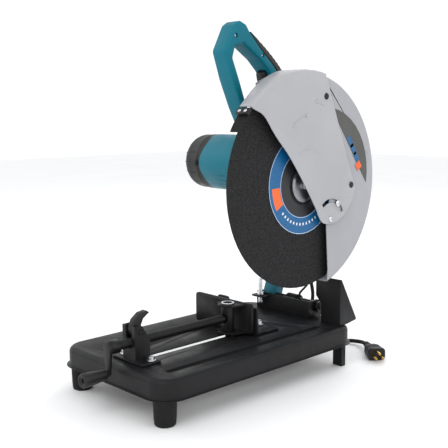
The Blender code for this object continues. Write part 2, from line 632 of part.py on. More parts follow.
def motor():
    """Field housing, stator, armature with its commutator, fan, brushes and the vented end cap."""
    place = (0, *MOTOR)
    ring("motor_housing", TO_YZ, place, 0.0462, MOTOR_R, -0.0950, 0.0240, TEAL, 48, 0.0012)
    bearing_plate = ring("gear_plate", TO_YZ, place, 0.0033, MOTOR_R, 0.0243, 0.0300, STEEL, 40)
    cut(bearing_plate, rod("spindle_seat_cut", (0.0275, *SPINDLE), (0.0310, *SPINDLE), 0.0083, STEEL, 20))
    end_cap(place)
    ring("stator", TO_YZ, place, 0.0265, 0.0452, -0.0720, -0.0120, STEEL, 36)
    core = [(0, 0.0562), (0.0030, 0.0562), (0.0030, -0.0160), (0.0255, -0.0160), (0.0255, -0.0680),
            (0.0050, -0.0700), (0.0050, -0.0780), (0.0135, -0.0780), (0.0135, -0.0980), (0.0030, -0.1000),
            (0.0030, -0.1290), (0, -0.1290)]
    join(turned("armature", core, TO_YZ, place, COPPER, 32), gears())
    fan(place)
    y, z = MOTOR
    for name, side in (("brush_front", -1), ("brush_rear", 1)):
        near, far = sorted((y + side * 0.0139, y + side * 0.0320))
        box(name, (-0.0920, near, z - 0.0035), (-0.0820, far, z + 0.0035), CARBON)


def end_cap(place):
    """Black bearing cap: a cup open towards the motor, with eight air vents round its shoulder."""
    cap = [(0.0492, -0.0953), (0.0492, -0.1180), (0.0470, -0.1270), (0.0410, -0.1335), (0.0300, -0.1360),
           (0, -0.1360), (0, -0.1325), (0.0290, -0.1325), (0.0385, -0.1305), (0.0435, -0.1250),
           (0.0455, -0.1180), (0.0455, -0.0953)]
    bm = bmesh.new()
    points = [bm.verts.new((r, 0, h)) for r, h in cap]
    for i in range(len(points)):
        if i != 5:
            bm.edges.new((points[i], points[(i + 1) % len(points)]))
    mesh = bpy.data.meshes.new("end_cap")
    bm.to_mesh(mesh)
    bm.free()
    obj = add("end_cap", mesh, PLASTIC, TO_YZ, place)
    screw = obj.modifiers.new("turn", "SCREW")
    screw.steps = screw.render_steps = 40
    screw.use_merge_vertices = True
    screw.merge_threshold = 0.00001
    smooth(frozen(obj))
    seat = ring("rear_bearing_seat", TO_YZ, place, 0.0033, 0.0115, -0.1330, -0.1215, PLASTIC, 24)
    join(obj, seat)
    for i in range(8):
        a = radians(22.5 + 45 * i)
        y, z = place[1], place[2]
        near = (-0.1215, y + 0.0400 * cos(a), z + 0.0400 * sin(a))
        far = (-0.1215, y + 0.0550 * cos(a), z + 0.0550 * sin(a))
        cut(obj, rod(f"vent_cut_{i}", near, far, 0.0035, PLASTIC, 8))
    return obj


def fan(place):
    """Cooling fan: a disc with nine flat blades on its motor side."""
    obj = ring("cooling_fan", TO_YZ, place, 0.0033, 0.0425, 0.0080, 0.0100, PLASTIC, 36)
    y, z = place[1], place[2]
    for i in range(9):
        a = 2 * pi * i / 9
        blade = []
        for radius, side in ((0.015, -0.0008), (0.041, -0.0008), (0.041, 0.0008), (0.015, 0.0008)):
            blade.append((y + radius * cos(a) - side * sin(a), z + radius * sin(a) + side * cos(a)))
        join(obj, plate(f"fan_blade_{i}", [blade], TO_YZ, 0.0005, 0.0085, PLASTIC))
    return obj


# ---------------------------------------------------------------- guard
def guard_shell(name, radius, face_x, start, end, steps, front, left_edge, spec, left_plate=None):
    """Part of a drum round GUARD_C: a face at face_x, a rounded shoulder and a rim back to left_edge(angle).
    front closes the face's outline from the arc's end to its start; left_plate does so on the far side."""
    shoulder = [(face_x, radius - 0.0055), (face_x - 0.0012, radius - 0.0022), (face_x - 0.0048, radius)]
    angles = [start + (end - start) * i / steps for i in range(steps + 1)]
    bm = bmesh.new()
    rows = []
    for x, r in shoulder + [(None, radius)]:
        row = []
        for a in angles:
            y, z = on_circle(GUARD_C, r, a)
            row.append(bm.verts.new((left_edge(a) if x is None else x, y, z)))
        rows.append(row)
    for near, far in zip(rows, rows[1:]):
        for i in range(steps):
            bm.faces.new((near[i], near[i + 1], far[i + 1], far[i]))
    bm.faces.new(rows[0] + [bm.verts.new((face_x, y, z)) for y, z in front])
    if left_plate:
        x = left_edge(end)
        bm.faces.new(rows[-1] + [bm.verts.new((x, y, z)) for y, z in left_plate])
    bmesh.ops.recalc_face_normals(bm, faces=bm.faces)
    outward = max(bm.faces, key=lambda f: f.calc_center_median().x)
    if outward.normal.x < 0:
        bmesh.ops.reverse_faces(bm, faces=bm.faces)
    mesh = bpy.data.meshes.new(name)
    bm.to_mesh(mesh)
    bm.free()
    obj = add(name, mesh, spec)
    skin = obj.modifiers.new("sheet", "SOLIDIFY")
    skin.thickness = GUARD_T
    skin.offset = -1
    skin.use_even_offset = True
    return smooth(frozen(obj))


def fixed_guard():
    """Rear drum of the guard, from its tip behind the wheel up and over the top to the front."""
    front = [(0.150, 0.5130), (0.160, 0.440), (0.176, 0.330), (0.163, 0.2625), (0.1690, 0.1795)]
    left = [(0.012, 0.420), (0.060, 0.345), (0.072, 0.300), (0.105, 0.235), (0.150, 0.170)]
    # the face only covers the rear: the arc under the cover is closed off by the cover itself
    obj = guard_shell("guard_fixed", GUARD_R, GUARD_FACE, -72, 78, 30, front,
                      lambda a: GUARD_LEFT, GREY)
    plate_outline = arc(GUARD_C, GUARD_R - 0.0010, -72, 116, 38) + [(0.034, 0.484), (0.018, 0.462)] + left
    hole = arc(SPINDLE, 0.0292, 360, 12, 29)
    back = plate("guard_back", [plate_outline, hole], TO_YZ, GUARD_LEFT, GUARD_LEFT + GUARD_T, GREY)
    join(obj, back)
    return obj


def cover_left_edge(angle):
    """The cover's rim grows wider from its front end to the top."""
    share = min(max((132 - angle) / 56, 0), 1)
    return 0.090 - 0.033 * share ** 1.3


def side_cover():
    """Front cover of the guard: a face over the spindle and a wide rim, turning on the lower screw."""
    lower = [(-0.0190, 0.4580), (0.0030, 0.4475), (0.0300, 0.4155), (0.0640, 0.3805), (0.1000, 0.3345),
             (0.1300, 0.2915), (0.1430, 0.2700)]
    tail = [(0.1560, 0.2620), (0.1800, 0.2610), (0.2020, 0.2690), (0.2230, 0.2860), (0.2370, 0.3080)]
    rear = [(0.2390, 0.3180), (0.1650, 0.4880), (0.1600, 0.5040)]
    obj = guard_shell("side_cover", COVER_R, COVER_FACE, 77, 137, 16, lower + tail + rear,
                      cover_left_edge, GREY)
    slot = (arc(COVER_PIVOT, COVER_SLOT_R + 0.0036, 20, 132, 10)
            + arc(COVER_PIVOT, COVER_SLOT_R - 0.0036, 132, 20, 10))
    cut(obj, plate("cover_slot_cut", [slot], TO_YZ, 0.108, 0.120, GREY))
    cut(obj, rod("cover_pivot_cut", (0.108, *COVER_PIVOT), (0.12, *COVER_PIVOT), 0.0033, GREY, 16))
    return obj


def guard_trim():
    """Screws, plugs and name panel of the guard, and the rubber flap under its front end."""
    x = COVER_FACE + GAP
    for name, degrees, radius in (("cover_pivot_screw", 0, 0), ("cover_slot_screw", 54, COVER_SLOT_R)):
        y, z = on_circle(COVER_PIVOT, radius, degrees)
        head = [(0, x + 0.0030), (0.0035, x + 0.0028), (0.0058, x + 0.0010), (0.0060, x),
                (0.0028, x), (0.0028, GUARD_FACE + GAP), (0, GUARD_FACE + GAP)]
        turned(name, head, TO_YZ, (0, y, z), ZINC, 20)
    for name, (y, z) in (("guard_plug_upper", (0.1545, 0.4795)), ("guard_plug_lower", (0.2270, 0.3250))):
        turned(name, [(0, x + 0.0016), (0.0045, x + 0.0014), (0.0056, x + 0.0004), (0.0056, x), (0, x)],
               TO_YZ, (0, y, z), PLASTIC, 20)
    outline = arc(*circle_through((0.1735, 0.4600), (0.2630, 0.3980), (0.2740, 0.3270)), 10)
    plate("name_panel", [outline], TO_YZ, GUARD_FACE + 0.0002, GUARD_FACE + 0.0010, PANEL)


def circle_through(a, b, c):
    """Centre, radius and the start and end angles of the arc a-b-c."""
    (ax, ay), (bx, by), (cx, cy) = a, b, c
    d = 2 * (ax * (by - cy) + bx * (cy - ay) + cx * (ay - by))
    aa, bb, cc = ax ** 2 + ay ** 2, bx ** 2 + by ** 2, cx ** 2 + cy ** 2
    ux = (aa * (by - cy) + bb * (cy - ay) + cc * (ay - by)) / d
    uy = (aa * (cx - bx) + bb * (ax - cx) + cc * (bx - ax)) / d
    first, last = atan2(ay - uy, ax - ux), atan2(cy - uy, cx - ux)
    return (ux, uy), hypot(ax - ux, ay - uy), first * 180 / pi, last * 180 / pi


def front_flap():
    """Clamp bar across the cover's front end, holding a short rubber flap ahead of the wheel."""
    a0, a1 = 138.0, 141.5
    strip = arc(GUARD_C, COVER_R + 0.0005, a0, a1, 2) + arc(GUARD_C, COVER_R - 0.0055, a1, a0, 2)
    plate("flap_clamp", [strip], TO_YZ, 0.0890, 0.1150, PLASTIC, 0.0008)
    flap = arc(GUARD_C, COVER_R - 0.0058, 138.2, 150.5, 5) + arc(GUARD_C, COVER_R - 0.0080, 150.5, 138.2, 5)
    plate("rubber_flap", [flap], TO_YZ, 0.0900, 0.1130, RUBBER)


# ---------------------------------------------------------------- handle
BAR_POINT, BAR_ALONG, BAR_OUT = Vector((0.1005, 0.5090)), Vector((0.649, -0.761)), Vector((0.761, 0.649))


def bar(t, n):
    """A point given along and across the grip's bar."""
    return tuple(BAR_POINT + BAR_ALONG * t + BAR_OUT * n)


GRIP_LINE = [(0.0500, 0.5850), (0.0810, 0.5640), (0.1090, 0.5420), (0.1290, 0.5220), (0.1480, 0.4920)]


def grip_inner(extra):
    """The grip's inner side: its outer line moved in, square to the bar."""
    shifts = (0.001, 0.0075, 0.0085, 0.0085, 0.004)
    return [(y - 0.66 * (s + extra), z - 0.75 * (s + extra)) for (y, z), s in zip(GRIP_LINE, shifts)]


def handle():
    """D-shaped handle standing on the motor, with a pocket for the trigger and its switch."""
    outer = [(0.0620, 0.392), (0.0560, 0.412), (0.0290, 0.460), (0.0080, 0.506), (-0.0080, 0.552),
             (0.0140, 0.594), (0.0260, 0.6015), (0.0400, 0.5960)]
    outer += grip_inner(GAP) + [(0.1560, 0.462), (0.1560, 0.420), (0.1480, 0.398), (0.1420, 0.392)]
    hole = [(0.0500, 0.446), (0.0360, 0.476), (0.0250, 0.504), (0.0090, 0.541), (0.0150, 0.560),
            (0.0330, 0.566), (0.0730, 0.541), (0.0930, 0.523), (0.1080, 0.500), (0.1180, 0.474),
            (0.1140, 0.452), (0.0960, 0.440), (0.0660, 0.438)]
    corners = [0, 0, 0.02, 0.02, 0.010, 0.010, 0.006, 0.006] + [0] * 5 + [0.02, 0.02, 0.006, 0.004]
    soft = rounded(outer, corners, 2)
    inner = rounded(hole, [0.01, 0.02, 0.02, 0.006, 0.006, 0.008, 0.02, 0, 0.01, 0.01, 0.008, 0.01, 0.01], 2)
    low, high = HANDLE_X - HANDLE_W / 2, HANDLE_X + HANDLE_W / 2
    obj = plate("handle", [soft, inner], TO_YZ, low, high, TEAL, 0.004, 1)
    cut(obj, rod("handle_seat_cut", (low - 0.01, *MOTOR), (high + 0.01, *MOTOR), MOTOR_R + 0.0006, TEAL, 48))
    pocket = [bar(-0.0175, -0.006), bar(0.0175, -0.006), bar(0.0175, 0.0105), bar(-0.0175, 0.0105)]
    cut(obj, plate("trigger_pocket_cut", [pocket], TO_YZ, 0.0135, 0.0325, TEAL))
    room = [bar(0.0160, 0.0022), bar(0.0400, 0.0022), bar(0.0400, 0.0105), bar(0.0160, 0.0105)]
    cut(obj, plate("switch_room_cut", [room], TO_YZ, 0.0150, 0.0310, TEAL))
    grip = GRIP_LINE + list(reversed(grip_inner(0)))
    plate("rubber_grip", [grip], TO_YZ, low + 0.001, high - 0.001, RUBBER, 0.0004)
    body = rounded([bar(-0.0162, 0.0062), bar(-0.0162, -0.0040), bar(-0.0050, -0.0100), bar(0.0160, -0.0085),
                    bar(0.0160, 0.0062)], [0.002, 0.003, 0.008, 0.003, 0.002])
    plate("trigger", [body], TO_YZ, 0.0145, 0.0315, PLASTIC, 0.0010)
    block = [bar(0.0205, 0.0030), bar(0.0390, 0.0030), bar(0.0390, 0.0098), bar(0.0205, 0.0098)]
    plate("switch_block", [block], TO_YZ, 0.0160, 0.0300, PLASTIC)


# ---------------------------------------------------------------- mains lead
DROP_ROUTE = [(-0.065, 0.2930, 0.1560), (-0.065, 0.3180, 0.1330), (-0.0690, 0.3410, 0.0980),
              (-0.0780, 0.3560, 0.0620), (-0.0940, 0.3590, 0.0370), (-0.1110, 0.3480, 0.0285),
              (-0.1205, 0.3270, 0.0275), (-0.1185, 0.3040, 0.0275), (-0.1110, 0.2885, 0.0275)]
TAIL_ROUTE = [(-0.0220, 0.2700, 0.0041), (0.0080, 0.2790, 0.0041), (0.0300, 0.3010, 0.0041),
              (0.0520, 0.3180, 0.0060), (0.0760, 0.3190, 0.0085), (0.0956, 0.3078, 0.0115)]
PLUG_AT, PLUG_DIR = Vector((0.0956, 0.3078, 0.0120)), Vector((0.80, -0.60, 0.0)).normalized()


def mains_lead():
    """Strain relief on the arm, the lead's drop to the floor, a stored coil, and the tail to the plug."""
    x, y, z = CORD_EXIT
    start = Vector(DROP_ROUTE[0])
    way = (start - Vector(CORD_EXIT)).normalized()
    rod("strain_relief", Vector(CORD_EXIT) - way * 0.004, start - way * 0.002, 0.0078, PLASTIC, 16, 0.0052)
    tube("cord_drop", through(DROP_ROUTE, 4), CORD_D / 2, RUBBER, 2)
    inner, outer = COIL_MID_R - CORD_D, COIL_MID_R + CORD_D
    coil = [(outer - 0.002, 0.0313), (outer, 0.0278), (outer, 0.0020), (outer - 0.002, 0.0002),
            (inner + 0.002, 0.0002), (inner, 0.0020), (inner, 0.0278), (inner + 0.002, 0.0313)]
    turned("cord_coil", coil, TO_XY, (*COIL_C, 0), RUBBER, 28)
    tube("cord_tail", through(TAIL_ROUTE, 4), CORD_D / 2, RUBBER, 2)
    plug()


def plug():
    """Moulded three-pin plug lying on the floor: tapered relief, flared body and round pins."""
    along = PLUG_DIR
    across = Vector((-along.y, along.x, 0))
    basis = Matrix((across, Vector((0, 0, 1)), along)).transposed()
    turn = basis if basis.determinant() > 0 else Matrix((-across, Vector((0, 0, 1)), along)).transposed()
    obj = rod("plug", PLUG_AT + along * 0.0020, PLUG_AT + along * 0.0340, 0.0052, PLASTIC, 16, 0.0078)
    outline = rounded([(-0.0165, -0.0117), (0.0165, -0.0117), (0.0165, 0.0117), (-0.0165, 0.0117)], 0.007)
    body = plate("plug_body", [outline], turn, 0, 0.038, PLASTIC, 0.002)
    body.matrix_local = Matrix.Translation(PLUG_AT + along * 0.050) @ turn.to_4x4()
    join(obj, frozen(body))
    neck = rod("plug_neck", PLUG_AT + along * 0.026, PLUG_AT + along * 0.036, 0.0082, PLASTIC, 16, 0.0115)
    join(obj, neck)
    for i, (side, lift) in enumerate(((-0.0063, -0.003), (0.0063, -0.003), (0.0, 0.0055))):
        pin = PLUG_AT + across * side + Vector((0, 0, lift))
        join(obj, rod(f"plug_pin_{i}", pin + along * 0.0660, pin + along * 0.0880, 0.0024, ZINC, 10))
    return obj


base_pan()
feet()
vise_bracket()
quick_release()
vise_screw()
vise_jaw()
fence()
pivot_bracket()
depth_stop()
pivot_axle()
spark_deflector()
swing_arm()
return_spring()
gear_housing()
spindle()
wheel()
motor()
fixed_guard()
side_cover()
guard_trim()
front_flap()
handle()
mains_lead()
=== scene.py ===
"""Abrasive chop saw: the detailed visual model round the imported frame, with its studio and camera."""
import json
from math import cos, pi, radians, sin, tan

import bmesh
import bpy
from mathutils import Matrix, Vector


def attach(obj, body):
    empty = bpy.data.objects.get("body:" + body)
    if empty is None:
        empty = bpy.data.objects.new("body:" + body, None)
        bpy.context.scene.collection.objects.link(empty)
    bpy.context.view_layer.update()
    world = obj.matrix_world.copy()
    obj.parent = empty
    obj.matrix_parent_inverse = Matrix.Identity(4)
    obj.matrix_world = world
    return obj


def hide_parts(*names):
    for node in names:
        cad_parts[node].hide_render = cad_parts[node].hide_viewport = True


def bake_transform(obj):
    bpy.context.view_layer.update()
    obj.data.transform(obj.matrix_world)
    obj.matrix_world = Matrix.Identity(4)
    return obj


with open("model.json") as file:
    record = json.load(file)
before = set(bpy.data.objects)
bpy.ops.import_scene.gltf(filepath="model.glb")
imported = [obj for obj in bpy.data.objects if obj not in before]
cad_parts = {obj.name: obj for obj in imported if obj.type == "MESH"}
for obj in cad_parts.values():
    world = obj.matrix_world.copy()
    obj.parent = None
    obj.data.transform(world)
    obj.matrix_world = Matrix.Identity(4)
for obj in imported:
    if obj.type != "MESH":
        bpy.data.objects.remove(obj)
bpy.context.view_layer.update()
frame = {"nodes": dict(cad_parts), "record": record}

# ---------------------------------------------------------------- dimensions, as in the CAD source
SHIFT = Vector((0.0, -0.0069, 0.0))     # from the middle of the base to the row's origin
BASE_W, BASE_L, RIM_Z, TOP_Z, SHEET = 0.268, 0.447, 0.042, 0.074, 0.0018
BASE_CORNER, BASE_FILLET, LIP = 0.036, 0.009, 0.005
WHEEL_X = 0.097
SPINDLE, MOTOR, PIVOT = (0.115, 0.332), (0.097, 0.364), (0.216, 0.094)
MOTOR_R = 0.050
GUARD_C, GUARD_R, GUARD_FACE, GUARD_LEFT, GUARD_T = (0.112, 0.334), 0.186, 0.112, 0.068, 0.0018
COVER_R, COVER_FACE, COVER_PIVOT, COVER_SLOT_R = 0.1895, 0.1153, (0.171, 0.2685), 0.0325
VISE_X, SCREW_Z, SCREW_R = 0.019, 0.104, 0.0075
HANDLE_X, HANDLE_W = 0.023, 0.034
CORD_D = 0.0075
COIL_C = (-0.062, 0.308)                # the middle of the lead's coil, in plan

TO_YZ = Matrix(((0, 0, 1), (1, 0, 0), (0, 1, 0)))
TO_XZ = Matrix(((1, 0, 0), (0, 0, -1), (0, 1, 0)))
TO_XY = Matrix.Identity(3)


# ---------------------------------------------------------------- studio
def studio():
    """A white surround that dims overhead, with four soft lamps."""
    world = bpy.data.worlds.new("studio")
    world.use_nodes = True
    tree = world.node_tree
    back = tree.nodes["Background"]
    coords = tree.nodes.new("ShaderNodeTexCoord")
    split = tree.nodes.new("ShaderNodeSeparateXYZ")
    tree.links.new(coords.outputs["Generated"], split.inputs[0])
    ramp = tree.nodes.new("ShaderNodeValToRGB")
    tree.links.new(split.outputs["Z"], ramp.inputs[0])
    ramp.color_ramp.elements[0].color = (1, 1, 1, 1)
    ramp.color_ramp.elements[0].position = 0.12
    ramp.color_ramp.elements[1].color = (0.86, 0.87, 0.88, 1)
    ramp.color_ramp.elements[1].position = 0.8
    tree.links.new(ramp.outputs[0], back.inputs["Color"])
    back.inputs["Strength"].default_value = 1.08
    bpy.context.scene.world = world
    lights = (("key", (0.9, -1.9, 2.2), 1.6, 16), ("fill", (-2.0, -0.9, 1.3), 2.0, 6),
              ("side", (2.4, 0.5, 1.5), 1.5, 8), ("rim", (-0.6, 2.2, 1.9), 1.5, 16))
    for name, place, size, power in lights:
        data = bpy.data.lights.new(name, "AREA")
        data.shape, data.size, data.energy = "DISK", size, power
        lamp = bpy.data.objects.new(name, data)
        bpy.context.scene.collection.objects.link(lamp)
        lamp.location = place
        aim = Vector((0.0, 0.0, 0.25)) - Vector(place)
        lamp.rotation_euler = aim.to_track_quat("-Z", "Y").to_euler()
    bpy.context.scene.view_settings.view_transform = "Standard"


def camera():
    data = bpy.data.cameras.new("camera")
    data.sensor_width, data.lens = 36, 62.73
    cam = bpy.data.objects.new("camera", data)
    bpy.context.scene.collection.objects.link(cam)
    yaw, pitch, roll = radians(46.4), radians(8.2), radians(-0.3)
    forward = Vector((-sin(yaw) * cos(pitch), cos(yaw) * cos(pitch), -sin(pitch)))
    turn = forward.to_track_quat("-Z", "Y").to_matrix() @ Matrix.Rotation(roll, 3, "Z")
    cam.matrix_world = Matrix.Translation(Vector((0.961, -0.891, 0.455)) + SHIFT) @ turn.to_4x4()
    bpy.context.scene.camera = cam


def floor():
    bm = bmesh.new()
    bmesh.ops.create_grid(bm, x_segments=2, y_segments=2, size=6)
    mesh = bpy.data.meshes.new("floor")
    bm.to_mesh(mesh)
    bm.free()
    obj = bpy.data.objects.new("floor", mesh)
    bpy.context.scene.collection.objects.link(obj)
    obj.location = (0, 0, -0.0002)
    mesh.materials.append(MAT["floor"])


# ---------------------------------------------------------------- materials
def linear(*rgb):
    """sRGB 0-255 to scene linear."""
    return tuple((c / 255 / 12.92) if c <= 10 else ((c / 255 + 0.055) / 1.055) ** 2.4 for c in rgb)


class Nodes:
    """A material's node tree, with short calls for the nodes used here."""

    def __init__(self, name):
        self.material = bpy.data.materials.new(name)
        self.material.use_nodes = True
        self.tree = self.material.node_tree
        self.shader = self.tree.nodes["Principled BSDF"]

    def node(self, kind, **inputs):
        made = self.tree.nodes.new(kind)
        for key, value in inputs.items():
            self.feed(made.inputs[key.replace("_", " ")], value)
        return made

    def feed(self, socket, value):
        if isinstance(value, bpy.types.NodeSocket):
            self.tree.links.new(value, socket)
        else:
            socket.default_value = value

    def place(self):
        """Coordinates that stay with the piece."""
        return self.tree.nodes.new("ShaderNodeTexCoord").outputs["Object"]

    def noise(self, scale, detail=3.0, rough=0.5, at=None):
        made = self.node("ShaderNodeTexNoise", Vector=at or self.place(), Scale=scale, Detail=detail,
                         Roughness=rough)
        return made.outputs["Fac"]

    def stretched(self, scale):
        """Coordinates scaled differently along each axis."""
        return self.node("ShaderNodeMapping", Vector=self.place(), Scale=scale).outputs["Vector"]

    def span(self, value, low, high, to_low=0.0, to_high=1.0):
        """Maps low..high of a value to to_low..to_high, clamped."""
        made = self.node("ShaderNodeMapRange")
        for i, number in enumerate((value, low, high, to_low, to_high)):
            self.feed(made.inputs[i], number)
        return made.outputs["Result"]

    def math(self, operation, a, b=0.0, c=0.0):
        made = self.tree.nodes.new("ShaderNodeMath")
        made.operation = operation
        for i, number in enumerate((a, b, c)):
            self.feed(made.inputs[i], number)
        return made.outputs[0]

    def mix(self, share, a, b):
        made = self.tree.nodes.new("ShaderNodeMix")
        made.data_type = "RGBA"
        for name, value in (("Factor_Float", share), ("A_Color", a), ("B_Color", b)):
            socket = next(s for s in made.inputs if s.identifier == name)
            self.feed(socket, (*value, 1) if isinstance(value, tuple) and len(value) == 3 else value)
        return next(s for s in made.outputs if s.identifier == "Result_Color")

    def colour(self, value):
        self.feed(self.shader.inputs["Base Color"], (*value, 1) if isinstance(value, tuple) else value)

    def rough(self, value):
        self.feed(self.shader.inputs["Roughness"], value)

    def bump(self, height, distance, strength=1.0, under=None):
        made = self.node("ShaderNodeBump", Height=height, Distance=distance, Strength=strength)
        if under:
            self.feed(made.inputs["Normal"], under)
        return made.outputs["Normal"]

    def normal(self, value):
        self.feed(self.shader.inputs["Normal"], value)


MAT = {}


def finish_of(name, rgb, rough, metallic=0.0, grain=900.0, depth=0.00006, mottle=0.10, spread=0.08,
              scuff=0.0, coat=0.0, specular=0.5):
    """A moulded or painted surface: mottled colour, uneven gloss, fine grain and, if asked, worn scuffs."""
    n = Nodes(name)
    base = linear(*rgb)
    dark = tuple(c * (1 - mottle) for c in base)
    light = tuple(min(1, c * (1 + mottle) + 0.002) for c in base)
    broad = n.noise(9.0, 4.0)
    tone = n.mix(n.span(broad, 0.35, 0.65), dark, light)
    gloss = n.span(n.noise(46.0, 5.0), 0.3, 0.7, rough - spread, rough + spread)
    if scuff:
        streaks = n.noise(1.0, 6.0, 0.65, n.stretched((120.0, 22.0, 260.0)))
        patches = n.noise(17.0, 3.0)
        worn = n.math("MULTIPLY", n.span(streaks, 0.62, 0.72), n.span(patches, 0.50, 0.66, 0.0, scuff))
        pale = tuple(min(1, c * 1.5 + 0.05) for c in base)
        tone = n.mix(worn, tone, pale)
        gloss = n.math("ADD", gloss, n.math("MULTIPLY", worn, 0.25))
    n.colour(tone)
    n.rough(gloss)
    n.shader.inputs["Metallic"].default_value = metallic
    n.shader.inputs["Coat Weight"].default_value = coat
    n.shader.inputs["Specular IOR Level"].default_value = specular
    n.normal(n.bump(n.noise(grain, 2.0), depth, 1.0, n.bump(broad, 0.0002, 0.3)))
    MAT[name] = n.material


def metal(name, rgb, rough, stretch=(60.0, 60.0, 900.0), depth=0.00003):
    """Bare or plated metal with fine drawn lines and faint stains."""
    n = Nodes(name)
    base = linear(*rgb)
    lines = n.noise(1.0, 5.0, 0.6, n.stretched(stretch))
    stain = n.noise(90.0, 5.0, 0.6)
    n.colour(n.mix(n.span(stain, 0.4, 0.72), base, tuple(c * 0.72 for c in base)))
    n.rough(n.math("ADD", n.span(lines, 0.3, 0.7, rough - 0.08, rough + 0.1),
                   n.span(stain, 0.5, 0.8, 0, 0.12)))
    n.shader.inputs["Metallic"].default_value = 1.0
    n.normal(n.bump(lines, depth, 0.6))
    MAT[name] = n.material


def abrasive():
    """Bonded grit: a dark resin with paler grains, reinforced by a faint woven mesh."""
    n = Nodes("abrasive")
    grit = n.node("ShaderNodeTexVoronoi", Vector=n.place(), Scale=620.0)
    grain = n.span(grit.outputs["Distance"], 0.1, 0.7)
    speck = n.span(n.noise(1100.0, 2.0), 0.66, 0.76)
    tone = n.mix(grain, linear(44, 44, 46), linear(20, 20, 21))
    tone = n.mix(n.math("MULTIPLY", speck, 0.5), tone, linear(120, 120, 122))
    n.colour(tone)
    n.rough(n.span(grain, 0, 1, 0.65, 0.9))
    n.shader.inputs["Specular IOR Level"].default_value = 0.3
    rows = n.node("ShaderNodeTexWave", Vector=n.place(), Scale=95.0)
    rows.bands_direction = "Y"
    columns = n.node("ShaderNodeTexWave", Vector=n.place(), Scale=95.0)
    columns.bands_direction = "Z"
    weave = n.math("MULTIPLY", rows.outputs["Fac"], columns.outputs["Fac"])
    n.normal(n.bump(grain, 0.0005, 0.7, n.bump(weave, 0.0003, 0.35)))
    MAT["abrasive"] = n.material


def polar(n, centre):
    """Radius and angle in degrees about a line along X through centre, from the piece's coordinates."""
    split = n.node("ShaderNodeSeparateXYZ", Vector=n.place())
    y = n.math("SUBTRACT", split.outputs["Y"], centre[0] + SHIFT.y)
    z = n.math("SUBTRACT", split.outputs["Z"], centre[1])
    radius = n.math("SQRT", n.math("ADD", n.math("MULTIPLY", y, y), n.math("MULTIPLY", z, z)))
    angle = n.math("MULTIPLY", n.math("ARCTAN2", z, y), 180 / pi)
    return radius, angle


def between(n, value, low, high):
    return n.math("MULTIPLY", n.math("GREATER_THAN", value, low), n.math("LESS_THAN", value, high))


def label():
    """Printed wheel label: blue ring, orange field, pale rules and plain blocks where a print would be, with
    painted shade over its dark middle.
    """
    n = Nodes("label_blue")
    radius, angle = polar(n, SPINDLE)
    tone = n.mix(n.span(n.noise(300.0), 0.3, 0.7), linear(0, 84, 134), linear(0, 96, 150))
    field = n.math("MULTIPLY", between(n, radius, 0.058, 0.077), between(n, angle, -178, -149))
    # painted shade: inside radius 0.055 the label turns dark grey, standing in for the cover's shadow over the
    # hub
    tone = n.mix(n.math("LESS_THAN", radius, 0.0550), tone, linear(30, 32, 36))
    tone = n.mix(field, tone, linear(236, 104, 40))
    for low, high in ((0.0835, 0.0842), (0.0560, 0.0566)):
        tone = n.mix(between(n, radius, low, high), tone, linear(225, 230, 235))
    ticks = n.math("GREATER_THAN", n.math("SINE", n.math("MULTIPLY", angle, 0.9)), 0.35)
    band = n.math("MULTIPLY", between(n, radius, 0.0655, 0.0700), between(n, angle, -140, 30))
    tone = n.mix(n.math("MULTIPLY", band, ticks), tone, linear(225, 230, 235))
    n.colour(tone)
    n.rough(0.45)
    n.normal(n.bump(n.noise(700.0), 0.00004, 0.5))
    MAT["label_blue"] = n.material


def floor_material():
    n = Nodes("floor")
    n.colour(n.mix(n.span(n.noise(3.0), 0.3, 0.7), linear(250, 250, 251), linear(253, 253, 253)))
    n.rough(0.7)
    n.normal(n.bump(n.noise(60.0), 0.0002, 0.1))
    MAT["floor"] = n.material


def make_materials():
    finish_of("teal_plastic", (0, 106, 124), 0.46, grain=1300.0, depth=0.00004, mottle=0.05, specular=0.2)
    finish_of("teal_casting", (0, 96, 114), 0.48, grain=520.0, depth=0.00010, mottle=0.08, scuff=0.2,
              specular=0.28)
    finish_of("black_paint", (20, 20, 22), 0.46, grain=800.0, depth=0.00005, mottle=0.10, scuff=0.22,
              specular=0.22)
    finish_of("black_plastic", (18, 18, 18), 0.48, grain=1600.0, depth=0.00005, mottle=0.10, specular=0.35)
    finish_of("black_oxide", (17, 17, 18), 0.42, grain=900.0, depth=0.00003, mottle=0.15, specular=0.3)
    finish_of("rubber", (22, 21, 21), 0.75, grain=700.0, depth=0.00008, mottle=0.15, specular=0.25)
    finish_of("grip_rubber", (58, 54, 53), 0.62, grain=900.0, depth=0.00006, mottle=0.10, specular=0.3)
    finish_of("grey_paint", (158, 159, 164), 0.38, grain=420.0, depth=0.00005, mottle=0.03, scuff=0.03)
    finish_of("cover_paint", (166, 166, 170), 0.36, grain=420.0, depth=0.00005, mottle=0.03, scuff=0.02)
    finish_of("panel_grey", (74, 74, 72), 0.45, grain=900.0, depth=0.00003, mottle=0.06)
    finish_of("print_blue", (20, 92, 140), 0.45, grain=900.0, depth=0.00003, mottle=0.06)
    finish_of("print_orange", (226, 98, 44), 0.45, grain=900.0, depth=0.00003, mottle=0.06)
    finish_of("copper", (180, 110, 70), 0.4, 1.0)
    finish_of("carbon", (50, 50, 52), 0.7)
    metal("zinc", (214, 216, 220), 0.24)
    metal("steel", (150, 152, 156), 0.34)
    metal("brass", (196, 160, 84), 0.28)
    abrasive()
    label()
    floor_material()


def dress(node, name):
    """A carried-over CAD node takes one of the materials above."""
    obj = frame["nodes"][node]
    obj.data.materials.clear()
    obj.data.materials.append(MAT[name])


def dress_frame():
    for part in frame["record"]["subparts"]:
        dress(part["node"], part["material_slot"])
    dress("side_cover", "cover_paint")


